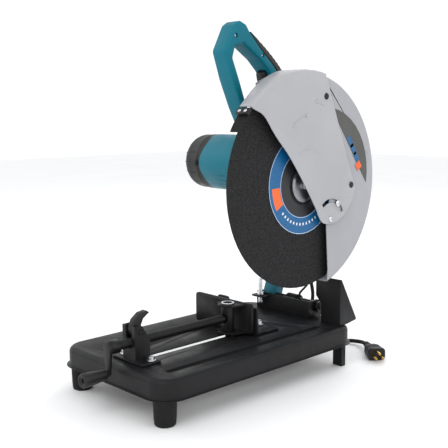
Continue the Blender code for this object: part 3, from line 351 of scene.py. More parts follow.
# ---------------------------------------------------------------- mesh helpers
def add(name, mesh, spec, basis=TO_XY, at=(0, 0, 0)):
    """A named piece with its place baked into its mesh, as the CAD nodes have it."""
    mesh.transform(Matrix.Translation(Vector(at) + SHIFT) @ basis.to_4x4())
    obj = bpy.data.objects.new(name, mesh)
    bpy.context.scene.collection.objects.link(obj)
    mesh.materials.append(MAT[spec])
    return obj


def from_bmesh(name, bm, spec, basis=TO_XY, at=(0, 0, 0)):
    bmesh.ops.recalc_face_normals(bm, faces=bm.faces)
    mesh = bpy.data.meshes.new(name)
    bm.to_mesh(mesh)
    bm.free()
    return add(name, mesh, spec, basis, at)


def frozen(obj):
    """The object with its modifiers turned into plain mesh."""
    bpy.context.view_layer.update()
    mesh = bpy.data.meshes.new_from_object(obj.evaluated_get(bpy.context.evaluated_depsgraph_get()))
    obj.modifiers.clear()
    obj.data = mesh
    return obj


def cut(obj, *others):
    for other in others:
        mod = obj.modifiers.new("cut", "BOOLEAN")
        mod.operation, mod.object, mod.solver = "DIFFERENCE", other, "EXACT"
        frozen(obj)
        bpy.data.objects.remove(other)
    return obj


def merge(obj, *others):
    """Puts the other meshes into the first object's mesh."""
    bm = bmesh.new()
    for source in (obj, *others):
        slots = [obj.data.materials.find(m.name) for m in source.data.materials]
        for i, m in enumerate(source.data.materials):
            if slots[i] < 0:
                obj.data.materials.append(m)
                slots[i] = len(obj.data.materials) - 1
        count = len(bm.faces)
        bm.from_mesh(source.data)
        bm.faces.ensure_lookup_table()
        for face in bm.faces[count:]:
            face.material_index = slots[face.material_index]
    bm.to_mesh(obj.data)
    bm.free()
    for other in others:
        bpy.data.objects.remove(other)
    return obj


def bevelled(obj, width, segments=2, angle=32):
    mod = obj.modifiers.new("edges", "BEVEL")
    mod.width, mod.segments, mod.limit_method, mod.angle_limit = width, segments, "ANGLE", radians(angle)
    mod.harden_normals = True
    mod.miter_outer = "MITER_ARC"
    obj.data.shade_smooth()
    return frozen(obj)


def placed(obj, body, slot, *nodes, sharp=38):
    """The finished piece rides on its body and stands for these CAD nodes."""
    obj.data.shade_smooth()
    obj.data.set_sharp_from_angle(angle=radians(sharp))
    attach(obj, body)
    if nodes:
        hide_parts(*nodes)
    return obj


def turned(name, profile, basis, at, spec, sides=48):
    """A body of revolution about the basis' depth axis from (radius, height) points."""
    bm = bmesh.new()
    rows = []
    for r, h in profile:
        count = sides if r > 1e-6 else 1
        rows.append([bm.verts.new((r * cos(2 * pi * i / sides), r * sin(2 * pi * i / sides), h))
                     for i in range(count)])
    pairs = list(zip(rows, rows[1:])) + ([(rows[-1], rows[0])] if profile[0][0] > 1e-6 else [])
    for a, b in pairs:
        for i in range(sides):
            j = (i + 1) % sides
            face = list(dict.fromkeys((a[i % len(a)], a[j % len(a)], b[j % len(b)], b[i % len(b)])))
            if len(face) > 2:
                bm.faces.new(face)
    return from_bmesh(name, bm, spec, basis, at)


def sweep(name, points, radius, spec, sides=12):
    """A round bar along points, with domed ends."""
    pts = [Vector(p) for p in points]
    ways = [(pts[min(i + 1, len(pts) - 1)] - pts[max(i - 1, 0)]).normalized() for i in range(len(pts))]
    up = ways[0].orthogonal().normalized()
    bm = bmesh.new()
    rows = []
    for p, way in zip(pts, ways):
        up = (up - way * up.dot(way)).normalized()
        side = way.cross(up)
        rows.append([bm.verts.new(p + (up * cos(2 * pi * k / sides) + side * sin(2 * pi * k / sides)) * radius)
                     for k in range(sides)])
    for a, b in zip(rows, rows[1:]):
        for k in range(sides):
            bm.faces.new((a[k], a[(k + 1) % sides], b[(k + 1) % sides], b[k]))
    bm.faces.new(list(reversed(rows[0])))
    bm.faces.new(rows[-1])
    return from_bmesh(name, bm, spec)


def arc(centre, radius, start, end, steps):
    """Points on a circle from start to end, in degrees."""
    angles = [radians(start + (end - start) * i / steps) for i in range(steps + 1)]
    return [(centre[0] + radius * cos(a), centre[1] + radius * sin(a)) for a in angles]


def rounded(corners, radius, steps=6):
    """A closed outline with each corner replaced by an arc; radius is one number or one a corner."""
    result = []
    radii = radius if isinstance(radius, (list, tuple)) else [radius] * len(corners)
    for i, here in enumerate(corners):
        here = Vector(here)
        before = (Vector(corners[i - 1]) - here).normalized()
        after = (Vector(corners[(i + 1) % len(corners)]) - here).normalized()
        half = before.angle(after) / 2
        if radii[i] <= 0 or half > radians(88):
            result.append(tuple(here))
            continue
        middle = here + (before + after).normalized() * radii[i] / sin(half)
        first = here + before * radii[i] / tan(half) - middle
        last = here + after * radii[i] / tan(half) - middle
        sweep_angle = first.angle_signed(last) * -1
        for k in range(steps + 1):
            a = sweep_angle * k / steps
            result.append((middle.x + first.x * cos(a) - first.y * sin(a),
                           middle.y + first.x * sin(a) + first.y * cos(a)))
    return result


def plate(name, outlines, basis, low, high, spec, edge=0.0, edge_steps=3):
    """A flat outline, with holes as further outlines, between two depths; edge rounds both rims."""
    curve = bpy.data.curves.new(name, "CURVE")
    curve.dimensions, curve.fill_mode = "2D", "BOTH"
    curve.extrude, curve.bevel_depth, curve.offset = (high - low) / 2 - edge, edge, -edge
    curve.bevel_resolution = edge_steps
    for outline in outlines:
        spline = curve.splines.new("POLY")
        spline.points.add(len(outline) - 1)
        for point, (a, b) in zip(spline.points, outline):
            point.co = (a, b, 0, 1)
        spline.use_cyclic_u = True
    holder = bpy.data.objects.new(name + "_outline", curve)
    bpy.context.scene.collection.objects.link(holder)
    bpy.context.view_layer.update()
    mesh = bpy.data.meshes.new_from_object(holder.evaluated_get(bpy.context.evaluated_depsgraph_get()))
    bpy.data.objects.remove(holder)
    bm = bmesh.new()
    bm.from_mesh(mesh)
    bmesh.ops.remove_doubles(bm, verts=bm.verts, dist=0.00001)
    return from_bmesh(name, bm, spec, basis, basis @ Vector((0, 0, (low + high) / 2)))


def through(points, per_span):
    """A smooth Catmull-Rom curve through the points."""
    pts = [Vector(p) for p in points]
    pts = [pts[0] * 2 - pts[1]] + pts + [pts[-1] * 2 - pts[-2]]
    line = []
    for a, b, c, d in zip(pts, pts[1:], pts[2:], pts[3:]):
        for i in range(per_span):
            t = i / per_span
            line.append(0.5 * (2 * b + (c - a) * t + (2 * a - 5 * b + 4 * c - d) * t * t
                               + (3 * b - a - 3 * c + d) * t ** 3))
    return line + [pts[-2]]


def on_circle(centre, radius, degrees):
    return centre[0] + radius * cos(radians(degrees)), centre[1] + radius * sin(radians(degrees))


# ---------------------------------------------------------------- CAD pieces with finished edges
def polish(node, body, spec, width=0.0006, slot=None):
    """The CAD node's own shape with its flats made whole and its edges rounded."""
    source = frame["nodes"][node]
    bm = bmesh.new()
    bm.from_mesh(source.data)
    bmesh.ops.remove_doubles(bm, verts=bm.verts, dist=0.000002)
    bmesh.ops.dissolve_limit(bm, angle_limit=radians(0.6), verts=bm.verts, edges=bm.edges)
    mesh = bpy.data.meshes.new(node + "_finished")
    bm.to_mesh(mesh)
    bm.free()
    obj = bpy.data.objects.new(node + "_finished", mesh)
    bpy.context.scene.collection.objects.link(obj)
    mesh.materials.append(MAT[spec])
    slots = {p["node"]: p["material_slot"] for p in frame["record"]["subparts"]}
    return placed(bevelled(obj, width), body, slot or slots[node], node)


def polish_all():
    for body, spec, width, nodes in (
            ("base", "black_paint", 0.0005, ("vise_bracket", "foot_rear_left", "foot_rear_right",
                                             "pivot_bracket", "spark_deflector")),
            ("base", "zinc", 0.0006, ("bracket_bolt_left", "bracket_bolt_right", "fence_pivot_bolt",
                                      "fence_lock_bolt", "depth_stop_nut")),
            ("base", "black_oxide", 0.0006, ("pivot_axle",)),
            ("depth_stop", "zinc", 0.0004, ("depth_stop_screw",)),
            ("fence", "black_paint", 0.0006, ("fence",)),
            ("jaw", "black_paint", 0.0005, ("vise_jaw",)),
            ("screw", "black_oxide", 0.0006, ("vise_crank",)),
            ("release", "black_plastic", 0.0005, ("quick_release_lever",)),
            ("release", "steel", 0.0004, ("half_nut",)),
            ("head", "teal_casting", 0.0012, ("swing_arm", "gear_housing")),
            ("wheel_set", "zinc", 0.0006, ("arbor_bolt",)),
            ("trigger", "black_plastic", 0.0006, ("trigger",))):
        for node in nodes:
            polish(node, body, spec, width)
    darken_arm_tube()


def darken_arm_tube():
    """Faces of the arm's cross tube take black oxide; the rest of the casting keeps its teal."""
    mesh = bpy.data.objects["swing_arm_finished"].data
    mesh.materials.append(MAT["black_oxide"])
    for face in mesh.polygons:
        if face.center.x > -0.0505 and face.center.z < PIVOT[1] + 0.02:
            face.material_index = 1


# ---------------------------------------------------------------- mains lead
DROP_ROUTE = [(-0.065, 0.2930, 0.1560), (-0.065, 0.3180, 0.1330), (-0.0690, 0.3410, 0.0980),
              (-0.0780, 0.3560, 0.0620), (-0.0940, 0.3590, 0.0370), (-0.1110, 0.3480, 0.0285),
              (-0.1205, 0.3270, 0.0275), (-0.1185, 0.3040, 0.0275), (-0.1110, 0.2885, 0.0275)]
TAIL_ROUTE = [(-0.0220, 0.2700, 0.0041), (0.0080, 0.2790, 0.0041), (0.0300, 0.3010, 0.0041),
              (0.0520, 0.3180, 0.0060), (0.0760, 0.3190, 0.0085), (0.0956, 0.3078, 0.0115)]
PLUG_AT, PLUG_DIR = Vector((0.0956, 0.3078, 0.0120)), Vector((0.80, -0.60, 0.0)).normalized()
INNER, OUTER, LAYERS = 0.0373, 0.0451, (0.0275, 0.0197, 0.0119, 0.0041)
# the winding, by degrees wound: where its radius changes and where it steps down a layer
RADIUS_AT = ((-90, 0.0527), (0, OUTER), (270, OUTER), (360, INNER), (810, INNER), (900, OUTER),
             (1350, OUTER), (1440, INNER), (1890, INNER), (1980, OUTER), (2125, OUTER), (2185, 0.0552))
HEIGHT_AT = ((-90, LAYERS[0]), (540, LAYERS[0]), (630, LAYERS[1]), (1080, LAYERS[1]),
             (1170, LAYERS[2]), (1620, LAYERS[2]), (1710, LAYERS[3]), (2185, LAYERS[3]))


def read_off(table, at):
    """The table's value at a place between its rows, eased from one to the next."""
    for (a, low), (b, high) in zip(table, table[1:]):
        if at <= b:
            t = max(0.0, (at - a) / (b - a))
            return low + (high - low) * t * t * (3 - 2 * t)
    return table[-1][1]


def winding():
    """The stored part of the lead: four layers of two turns' width, wound anticlockwise downwards."""
    points = []
    for wound in range(-75, 2180, 15):
        a = radians(wound + 291.7)
        r = read_off(RADIUS_AT, wound)
        points.append(Vector((COIL_C[0] + r * cos(a), COIL_C[1] + r * sin(a), read_off(HEIGHT_AT, wound))))
    return points


def mains_lead():
    drop, tail = through(DROP_ROUTE, 4), through(TAIL_ROUTE, 5)
    route = drop + winding() + tail
    lead = sweep("mains_lead", route, CORD_D / 2, "rubber", 12)
    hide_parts("cord_drop", "cord_coil", "cord_tail")
    lead.data.shade_smooth()
    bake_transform(lead)


def plug_basis():
    across = Vector((-PLUG_DIR.y, PLUG_DIR.x, 0))
    return Matrix((across, Vector((0, 0, 1)), PLUG_DIR)).transposed()


def loft(name, rows, basis, at, spec):
    """A solid through closed outlines of the same number of points, each at its own depth."""
    bm = bmesh.new()
    made = [[bm.verts.new((a, b, depth)) for a, b in outline] for depth, outline in rows]
    for low, high in zip(made, made[1:]):
        for i in range(len(low)):
            j = (i + 1) % len(low)
            bm.faces.new((low[i], low[j], high[j], high[i]))
    bm.faces.new(made[0])
    bm.faces.new(made[-1])
    return from_bmesh(name, bm, spec, basis, at)


def power_plug():
    """Moulded plug: ribbed relief, waisted body with finger grips, and three round pins."""
    basis = plug_basis()

    def outline(w, h, r):
        return rounded([(-w, -h), (w, -h), (w, h), (-w, h)], r, 5)

    rows = [(0.0310, outline(0.0085, 0.0080, 0.0070)), (0.0330, outline(0.0125, 0.0095, 0.0080)),
            (0.0380, outline(0.0145, 0.0102, 0.0080))]
    for i in range(5):
        z = 0.0400 + i * 0.0040
        rows += [(z, outline(0.0140 + i * 0.0003, 0.0100, 0.0078)),
                 (z + 0.0016, outline(0.0150 + i * 0.0003, 0.0110, 0.0080)),
                 (z + 0.0030, outline(0.0150 + i * 0.0003, 0.0110, 0.0080))]
    rows += [(0.0610, outline(0.0160, 0.0115, 0.0075)), (0.0675, outline(0.0164, 0.0116, 0.0072)),
             (0.0690, outline(0.0155, 0.0108, 0.0068))]
    body = loft("power_plug", rows, basis, PLUG_AT, "black_plastic")
    relief = [(0, 0.0020), (0.0048, 0.0020)]
    for i in range(7):
        z = 0.0035 + i * 0.0040
        relief += [(0.0050 + i * 0.00035, z), (0.0057 + i * 0.00035, z + 0.0008),
                   (0.0057 + i * 0.00035, z + 0.0022), (0.0050 + i * 0.00035, z + 0.0030)]
    relief += [(0.0082, 0.0315), (0.0082, 0.0340), (0, 0.0340)]
    parts = [turned("relief", relief, basis, PLUG_AT, "black_plastic", 28)]
    for side, lift in ((-0.0063, -0.003), (0.0063, -0.003), (0.0, 0.0055)):
        at = PLUG_AT + basis @ Vector((side, lift, 0))
        pin = [(0, 0.0660), (0.0024, 0.0660), (0.0024, 0.0865), (0.0017, 0.0880), (0, 0.0880)]
        parts.append(turned("pin", pin, basis, at, "brass", 20))
    return placed(merge(body, *parts), "base", "black_plastic", "plug")


def strain_relief():
    way = (Vector(DROP_ROUTE[0]) - Vector((-0.065, 0.2575, 0.168))).normalized()
    turn = way.to_track_quat("Z", "Y").to_matrix()
    length = (Vector(DROP_ROUTE[0]) - Vector((-0.065, 0.2575, 0.168))).length
    profile = [(0, -0.0040), (0.0078, -0.0040), (0.0078, 0.0030)]
    for i in range(6):
        z, r = 0.0040 + i * (length - 0.010) / 6, 0.0074 - i * 0.00035
        profile += [(r - 0.0008, z), (r, z + 0.0010), (r, z + 0.0032), (r - 0.0008, z + 0.0042)]
    profile += [(0.0052, length - 0.0020), (0, length - 0.0020)]
    sleeve = turned("strain_relief_sleeve", profile, turn, (-0.065, 0.2575, 0.168), "black_plastic", 28)
    return placed(sleeve, "head", "black_plastic", "strain_relief")


# ---------------------------------------------------------------- base and vise
def slot_outline(x, y0, y1, width):
    r = width / 2
    return arc((x, y1 - r), r, 0, 180, 14) + arc((x, y0 + r), r, 180, 360, 14)


def base():
    """The pressed tray with a round lip, a fine shoulder and rolled slot edges."""
    def ring_of(inset, z):
        w, l = BASE_W / 2 - inset, BASE_L / 2 - inset
        corners = rounded([(w, -l), (w, l), (-w, l), (-w, -l)], BASE_CORNER - inset, 14)
        return [(x, y, z) for x, y in corners]

    profile = [(-LIP + 0.0004, RIM_Z + 0.0003), (-LIP, RIM_Z + 0.0009), (-LIP + 0.0004, RIM_Z + 0.0016),
               (-0.0016, RIM_Z + SHEET), (-0.0004, RIM_Z + SHEET + 0.0005), (0, RIM_Z + SHEET + 0.0018)]
    profile += [(BASE_FILLET * (1 - cos(radians(a))), TOP_Z - BASE_FILLET * (1 - sin(radians(a))))
                for a in range(0, 91, 9)]
    bm = bmesh.new()
    rows = [[bm.verts.new(p) for p in ring_of(i, z)] for i, z in profile]
    for low, high in zip(rows, rows[1:]):
        for i in range(len(low)):
            j = (i + 1) % len(low)
            bm.faces.new((low[i], low[j], high[j], high[i]))
    bm.faces.new(rows[-1])
    obj = from_bmesh("base_tray", bm, "black_paint")
    skin = obj.modifiers.new("sheet", "SOLIDIFY")
    skin.thickness, skin.offset = SHEET, -1
    frozen(obj)
    low, high = TOP_Z - 0.01, TOP_Z + 0.01
    cut(obj, plate("slot_a", [slot_outline(VISE_X, -0.196, 0.046, 0.012)], TO_XY, low, high, "black_paint"),
        plate("slot_b", [slot_outline(WHEEL_X, -0.187, 0.165, 0.012)], TO_XY, low, high, "black_paint"))
    for x, y in ((-0.010, -0.183), (0.046, -0.176), (0.022, 0.087), (-0.060, 0.087)):
        cut(obj, turned("hole", [(0, high), (0.0043, high), (0.0043, low), (0, low)], TO_XY, (x, y, 0),
                        "black_paint", 24))
    collar = plate("collar", [slot_outline(WHEEL_X, -0.189, 0.167, 0.0156),
                              slot_outline(WHEEL_X, -0.187, 0.165, 0.012)], TO_XY,
                   TOP_Z - 0.007, TOP_Z - 0.0008, "black_paint")
    return placed(merge(bevelled(obj, 0.0004), collar), "base", "black_paint", "base_pan")


def front_feet():
    for side, x in (("left", -0.108), ("right", 0.108)):
        top = TOP_Z - SHEET - 0.0003
        profile = [(0, top), (0.0050, top), (0.0050, 0.0570), (0.0140, 0.0564), (0.0148, 0.0556),
                   (0.0150, 0.0425), (0.0155, 0.0418), (0.0178, 0.0414), (0.0182, 0.0404), (0.0180, 0.0390),
                   (0.0170, 0.0100), (0.0165, 0.0040), (0.0160, 0.0015), (0.0145, 0), (0.0060, 0),
                   (0.0055, 0.0030), (0, 0.0030)]
        foot = turned("rubber_foot_" + side, profile, TO_XY, (x, -0.200, 0), "rubber", 56)
        placed(foot, "base", "rubber", "foot_front_" + side)


def threaded(name, start, end, radius, depth, pitch, basis, at, spec, sides=20):
    """A bar with a helical thread along the basis' depth axis."""
    bm = bmesh.new()
    steps = int((end - start) / pitch * 6)
    rows = []
    for i in range(steps + 1):
        h = start + (end - start) * i / steps
        row = []
        for k in range(sides):
            turn = (h / pitch - k / sides) % 1.0
            ridge = min(1.0, max(0.0, 2.2 - abs(turn - 0.5) * 6.4))
            fade = min(1.0, (h - start) / pitch, (end - h) / pitch)
            r = radius - depth * (1 - ridge * fade)
            row.append(bm.verts.new((r * cos(2 * pi * k / sides), r * sin(2 * pi * k / sides), h)))
        rows.append(row)
    for a, b in zip(rows, rows[1:]):
        for k in range(sides):
            bm.faces.new((a[k], a[(k + 1) % sides], b[(k + 1) % sides], b[k]))
    bm.faces.new(rows[0])
    bm.faces.new(rows[-1])
    return from_bmesh(name, bm, spec, basis, at)


def vise():
    screw = threaded("threaded_screw", -0.0024, 0.2325, SCREW_R, 0.0009, 0.0034, TO_XZ, (VISE_X, 0, SCREW_Z),
                     "black_oxide")
    placed(screw, "screw", "steel", "vise_screw", sharp=60)
    grip_z = SCREW_Z - 0.040
    profile = [(0.0035, 0.2815), (0.0055, 0.2830), (0.0080, 0.2842), (0.0098, 0.2838), (0.0108, 0.2822),
               (0.0110, 0.2800), (0.0106, 0.2700), (0.0102, 0.2640), (0.0092, 0.2540), (0.0084, 0.2460),
               (0.0076, 0.2425), (0.0066, 0.2408), (0.0035, 0.2405)]
    placed(turned("moulded_grip", profile, TO_XZ, (VISE_X, 0, grip_z), "black_plastic", 48),
           "grip", "black_plastic", "crank_grip")
    post = polish("jaw_post", "jaw_carriage", "black_oxide", 0.0005)
    z = TOP_Z + 0.0565
    # the post's top end as a thin zinc ring: the real rim of the hollow post, made bright as a painted
    # highlight
    top = turned("post_rim_highlight", [(0.0080, z), (0.0080, z + 0.0006), (0.0110, z + 0.0006), (0.0112, z)],
                 TO_XY, (VISE_X, 0.014, 0), "zinc", 40)
    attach(merge(post, top), "jaw_carriage")


def spring():
    """Torsion spring of round wire on the arm's tube, with its two legs."""
    y, z = PIVOT
    radius, turns, per_turn, x0, pitch = 0.0122, 5, 32, -0.022, 0.0050
    points = [(x0, y + 0.0120, TOP_Z + 0.0055), (x0, y + 0.0124, z - 0.006)]
    for i in range(turns * per_turn + 8):
        a = 2 * pi * i / per_turn
        points.append((x0 + pitch * i / per_turn, y + radius * cos(a), z + radius * sin(a)))
    x1 = points[-1][0]
    points += [(x1 + 0.012, y - 0.010, z + 0.022), (x1 + 0.024, y - 0.006, z + 0.036),
               (x1 + 0.025, y + 0.012, z + 0.0545)]
    wire = sweep("wound_spring", points, 0.0021, "black_oxide", 12)
    placed(wire, "base", "steel", "return_spring", sharp=60)


# ---------------------------------------------------------------- guard
def drum(name, radius, face_x, start, end, steps, front, left_edge, spec):
    """Part of a drum round GUARD_C: a face at face_x, a round shoulder and a rim back to left_edge(angle)."""
    shoulder = [(face_x, radius - 0.0062)]
    shoulder += [(face_x - 0.0050 * (1 - cos(radians(a))), radius - 0.0050 * (1 - sin(radians(a))))
                 for a in range(0, 91, 15)]
    angles = [start + (end - start) * i / steps for i in range(steps + 1)]
    bm = bmesh.new()
    rows = []
    for x, r in shoulder + [(None, radius)]:
        rows.append([bm.verts.new((left_edge(a) if x is None else x, *on_circle(GUARD_C, r, a)))
                     for a in angles])
    for near, far in zip(rows, rows[1:]):
        for i in range(steps):
            bm.faces.new((near[i], near[i + 1], far[i + 1], far[i]))
    bm.faces.new(rows[0] + [bm.verts.new((face_x, y, z)) for y, z in front])
    bmesh.ops.recalc_face_normals(bm, faces=bm.faces)
    outward = max(bm.faces, key=lambda f: f.calc_center_median().x)
    if outward.normal.x < 0:
        bmesh.ops.reverse_faces(bm, faces=bm.faces)
    mesh = bpy.data.meshes.new(name)
    bm.to_mesh(mesh)
    bm.free()
    obj = add(name, mesh, spec)
    skin = obj.modifiers.new("sheet", "SOLIDIFY")
    skin.thickness, skin.offset, skin.use_even_offset = GUARD_T, -1, True
    return frozen(obj)


def fixed_guard():
    front = [(0.150, 0.5130), (0.160, 0.440), (0.176, 0.330), (0.163, 0.2625), (0.1690, 0.1795)]
    left = [(0.012, 0.420), (0.060, 0.345), (0.072, 0.300), (0.105, 0.235), (0.150, 0.170)]
    shell = drum("guard_drum", GUARD_R, GUARD_FACE, -72, 78, 90, front, lambda a: GUARD_LEFT, "grey_paint")
    outline = arc(GUARD_C, GUARD_R - 0.0010, -72, 116, 100) + [(0.034, 0.484), (0.018, 0.462)] + left
    back = plate("guard_back", [outline, arc(SPINDLE, 0.0292, 360, 6, 59)], TO_YZ, GUARD_LEFT,
                 GUARD_LEFT + GUARD_T, "grey_paint")
    placed(merge(bevelled(shell, 0.0004), back), "head", "grey_paint", "guard_fixed")


def cover_left_edge(angle):
    return 0.090 - 0.033 * min(max((132 - angle) / 56, 0), 1) ** 1.3


def arrow(points, width, head, low, high):
    """A raised arrow along a line of (y, z) points, pointing at the last."""
    pts = [Vector(p) for p in points]
    left, right = [], []
    for i, p in enumerate(pts):
        way = (pts[min(i + 1, len(pts) - 1)] - pts[max(i - 1, 0)]).normalized()
        side = Vector((-way.y, way.x)) * width / 2
        left.append(tuple(p + side))
        right.append(tuple(p - side))
    way = (pts[-1] - pts[-2]).normalized()
    side = Vector((-way.y, way.x)) * head
    tip = [tuple(pts[-1] + side), tuple(pts[-1] + way * head * 1.5), tuple(pts[-1] - side)]
    return plate("arrow", [left + tip + right[::-1]], TO_YZ, low, high, "cover_paint", 0.00025, 1)


def front_cover():
    """The turning cover, with its curved slot, two raised arrows and a raised arc."""
    lower = [(-0.0190, 0.4580), (0.0030, 0.4475), (0.0300, 0.4155), (0.0640, 0.3805), (0.1000, 0.3345),
             (0.1300, 0.2915), (0.1430, 0.2700)]
    tail = [(0.1560, 0.2620), (0.1800, 0.2610), (0.2020, 0.2690), (0.2230, 0.2860), (0.2370, 0.3080)]
    lower = [tuple(p.xy) for p in through([(y, z, 0) for y, z in lower + tail], 5)]
    rear = [(0.2390, 0.3180), (0.1650, 0.4880), (0.1600, 0.5040)]
    obj = drum("cover_drum", COVER_R, COVER_FACE, 77, 137, 48, lower + rear, cover_left_edge, "cover_paint")
    slot = (arc(COVER_PIVOT, COVER_SLOT_R + 0.0036, 20, 132, 30)
            + arc(COVER_PIVOT, COVER_SLOT_R - 0.0036, 132, 20, 30))
    cut(obj, plate("slot", [slot], TO_YZ, 0.108, 0.120, "cover_paint"))
    face = COVER_FACE - 0.0001
    arrows = [arrow(arc((0.112, 0.395), 0.053, 142, 100, 8), 0.0030, 0.0042, face, face + 0.0008),
              arrow(arc((0.112, 0.395), 0.078, 76, 62, 5)[::-1], 0.0030, 0.0042, face, face + 0.0008)]
    low = arc(GUARD_C, 0.058, 118, 62, 16) + arc(GUARD_C, 0.0555, 62, 118, 16)
    arrows.append(plate("raised_arc", [low], TO_YZ, face, face + 0.0006, "cover_paint", 0.0002, 1))
    placed(merge(bevelled(obj, 0.0004), *arrows), "front_cover", "grey_paint", "side_cover")


def clamp():
    """The strap across the cover's front end with its two bright bolts, over a short flap."""
    a0, a1 = 138.0, 141.5
    strip = arc(GUARD_C, COVER_R + 0.0005, a0, a1, 4) + arc(GUARD_C, COVER_R - 0.0055, a1, a0, 4)
    strap = bevelled(plate("flap_strap", [strip], TO_YZ, 0.0890, 0.1150, "black_plastic"), 0.0007, 3)
    way = Vector((0, cos(radians(139.75)), sin(radians(139.75))))
    basis = way.to_track_quat("Z", "X").to_matrix()
    bolts = []
    for x in (0.0955, 0.1085):
        at = Vector((x, *GUARD_C)) + way * (COVER_R - 0.0004)
        dome = [(0, 0.0019), (0.0018, 0.0017), (0.0030, 0.0011), (0.0036, 0.0003),
                (0.0036, -0.0010), (0, -0.0010)]
        bolts.append(turned("clamp_bolt", dome, basis, at, "zinc", 24))
    placed(merge(strap, *bolts), "front_cover", "black_plastic", "flap_clamp")


def guard_screws():
    """Pan-head screws with a cross recess, and the name panel's plain generic marks."""
    x = COVER_FACE + 0.0003
    for node, degrees, radius in (("cover_pivot_screw", 0, 0), ("cover_slot_screw", 54, COVER_SLOT_R)):
        y, z = on_circle(COVER_PIVOT, radius, degrees)
        head = [(0, x + 0.0030), (0.0020, x + 0.0029), (0.0036, x + 0.0026), (0.0050, x + 0.0019),
                (0.0058, x + 0.0010), (0.0060, x), (0.0028, x), (0.0028, GUARD_FACE + 0.0003),
                (0, GUARD_FACE + 0.0003)]
        screw = turned(node + "_head", head, TO_YZ, (0, y, z), "zinc", 40)
        for along, across in ((0.0034, 0.0006), (0.0006, 0.0034)):
            bar_cut = [(y - along, z - across), (y + along, z - across),
                       (y + along, z + across), (y - along, z + across)]
            cut(screw, plate("recess", [bar_cut], TO_YZ, x + 0.0014, x + 0.0040, "zinc"))
        placed(screw, "head", "zinc", node)


def panel_marks():
    """Three plain blue bars and an orange block on the dark panel."""
    x = GUARD_FACE + 0.00095
    marks = []
    for name, y, z, w, h, spec in (("bar_a", 0.2255, 0.4010, 0.011, 0.0045, "print_blue"),
                                   ("bar_b", 0.2350, 0.3875, 0.011, 0.0045, "print_blue"),
                                   ("bar_c", 0.2430, 0.3735, 0.010, 0.0045, "print_blue"),
                                   ("block", 0.2500, 0.3580, 0.007, 0.0070, "print_orange")):
        tilt = radians(-52)
        corners = [(y + a * cos(tilt) - b * sin(tilt), z + a * sin(tilt) + b * cos(tilt))
                   for a, b in rounded([(-w, -h), (w, -h), (w, h), (-w, h)], 0.0012, 3)]
        marks.append(plate(name, [corners], TO_YZ, x, x + 0.0002, spec))
    obj = merge(*marks)
    placed(obj, "head", "panel_grey")


# ---------------------------------------------------------------- motor
def motor_case():
    """Teal field case with a scalloped edge towards the cap, seven raised ribs and a black sleeve."""
    place = (0, *MOTOR)
    sides = 120
    bm = bmesh.new()
    rows = []
    for r, h in ((0.0462, 0.0240), (0.0490, 0.0240), (0.0500, 0.0230), (0.0500, -0.0850), (0.0494, -0.0862),
                 (0.0462, -0.0862)):
        row = []
        for i in range(sides):
            a = 2 * pi * i / sides
            wave = 0.0035 * cos(4 * a) if h < -0.08 else 0.0
            row.append(bm.verts.new((r * cos(a), r * sin(a), h - wave)))
        rows.append(row)
    for a, b in list(zip(rows, rows[1:])) + [(rows[-1], rows[0])]:
        for i in range(sides):
            bm.faces.new((a[i], a[(i + 1) % sides], b[(i + 1) % sides], b[i]))
    case = from_bmesh("field_case", bm, "teal_plastic", TO_YZ, place)
    sleeve = turned("sleeve", [(0.0462, -0.0780), (0.0494, -0.0780), (0.0494, -0.0950), (0.0462, -0.0950)],
                    TO_YZ, place, "black_plastic", 96)
    for i in range(7):
        a = radians(205 + i * 12)
        y, z = MOTOR[0] + 0.0496 * cos(a), MOTOR[1] + 0.0496 * sin(a)
        out, along = Vector((0, cos(a), sin(a))), Vector((0, -sin(a), cos(a)))
        rib = rounded([(-0.014, -0.0016), (0.014, -0.0016), (0.014, 0.0016), (-0.014, 0.0016)], 0.0014, 4)
        raised = plate("rib", [rib], TO_XY, 0, 0.0010, "teal_plastic", 0.0003, 1)
        for vert in raised.data.vertices:
            p = vert.co - SHIFT
            vert.co = Vector((-0.040 + p.x, y, z)) + along * p.y + out * (p.z - 0.0003) + SHIFT
        case = merge(case, raised)
    placed(merge(case, sleeve), "head", "teal_plastic", "motor_housing")


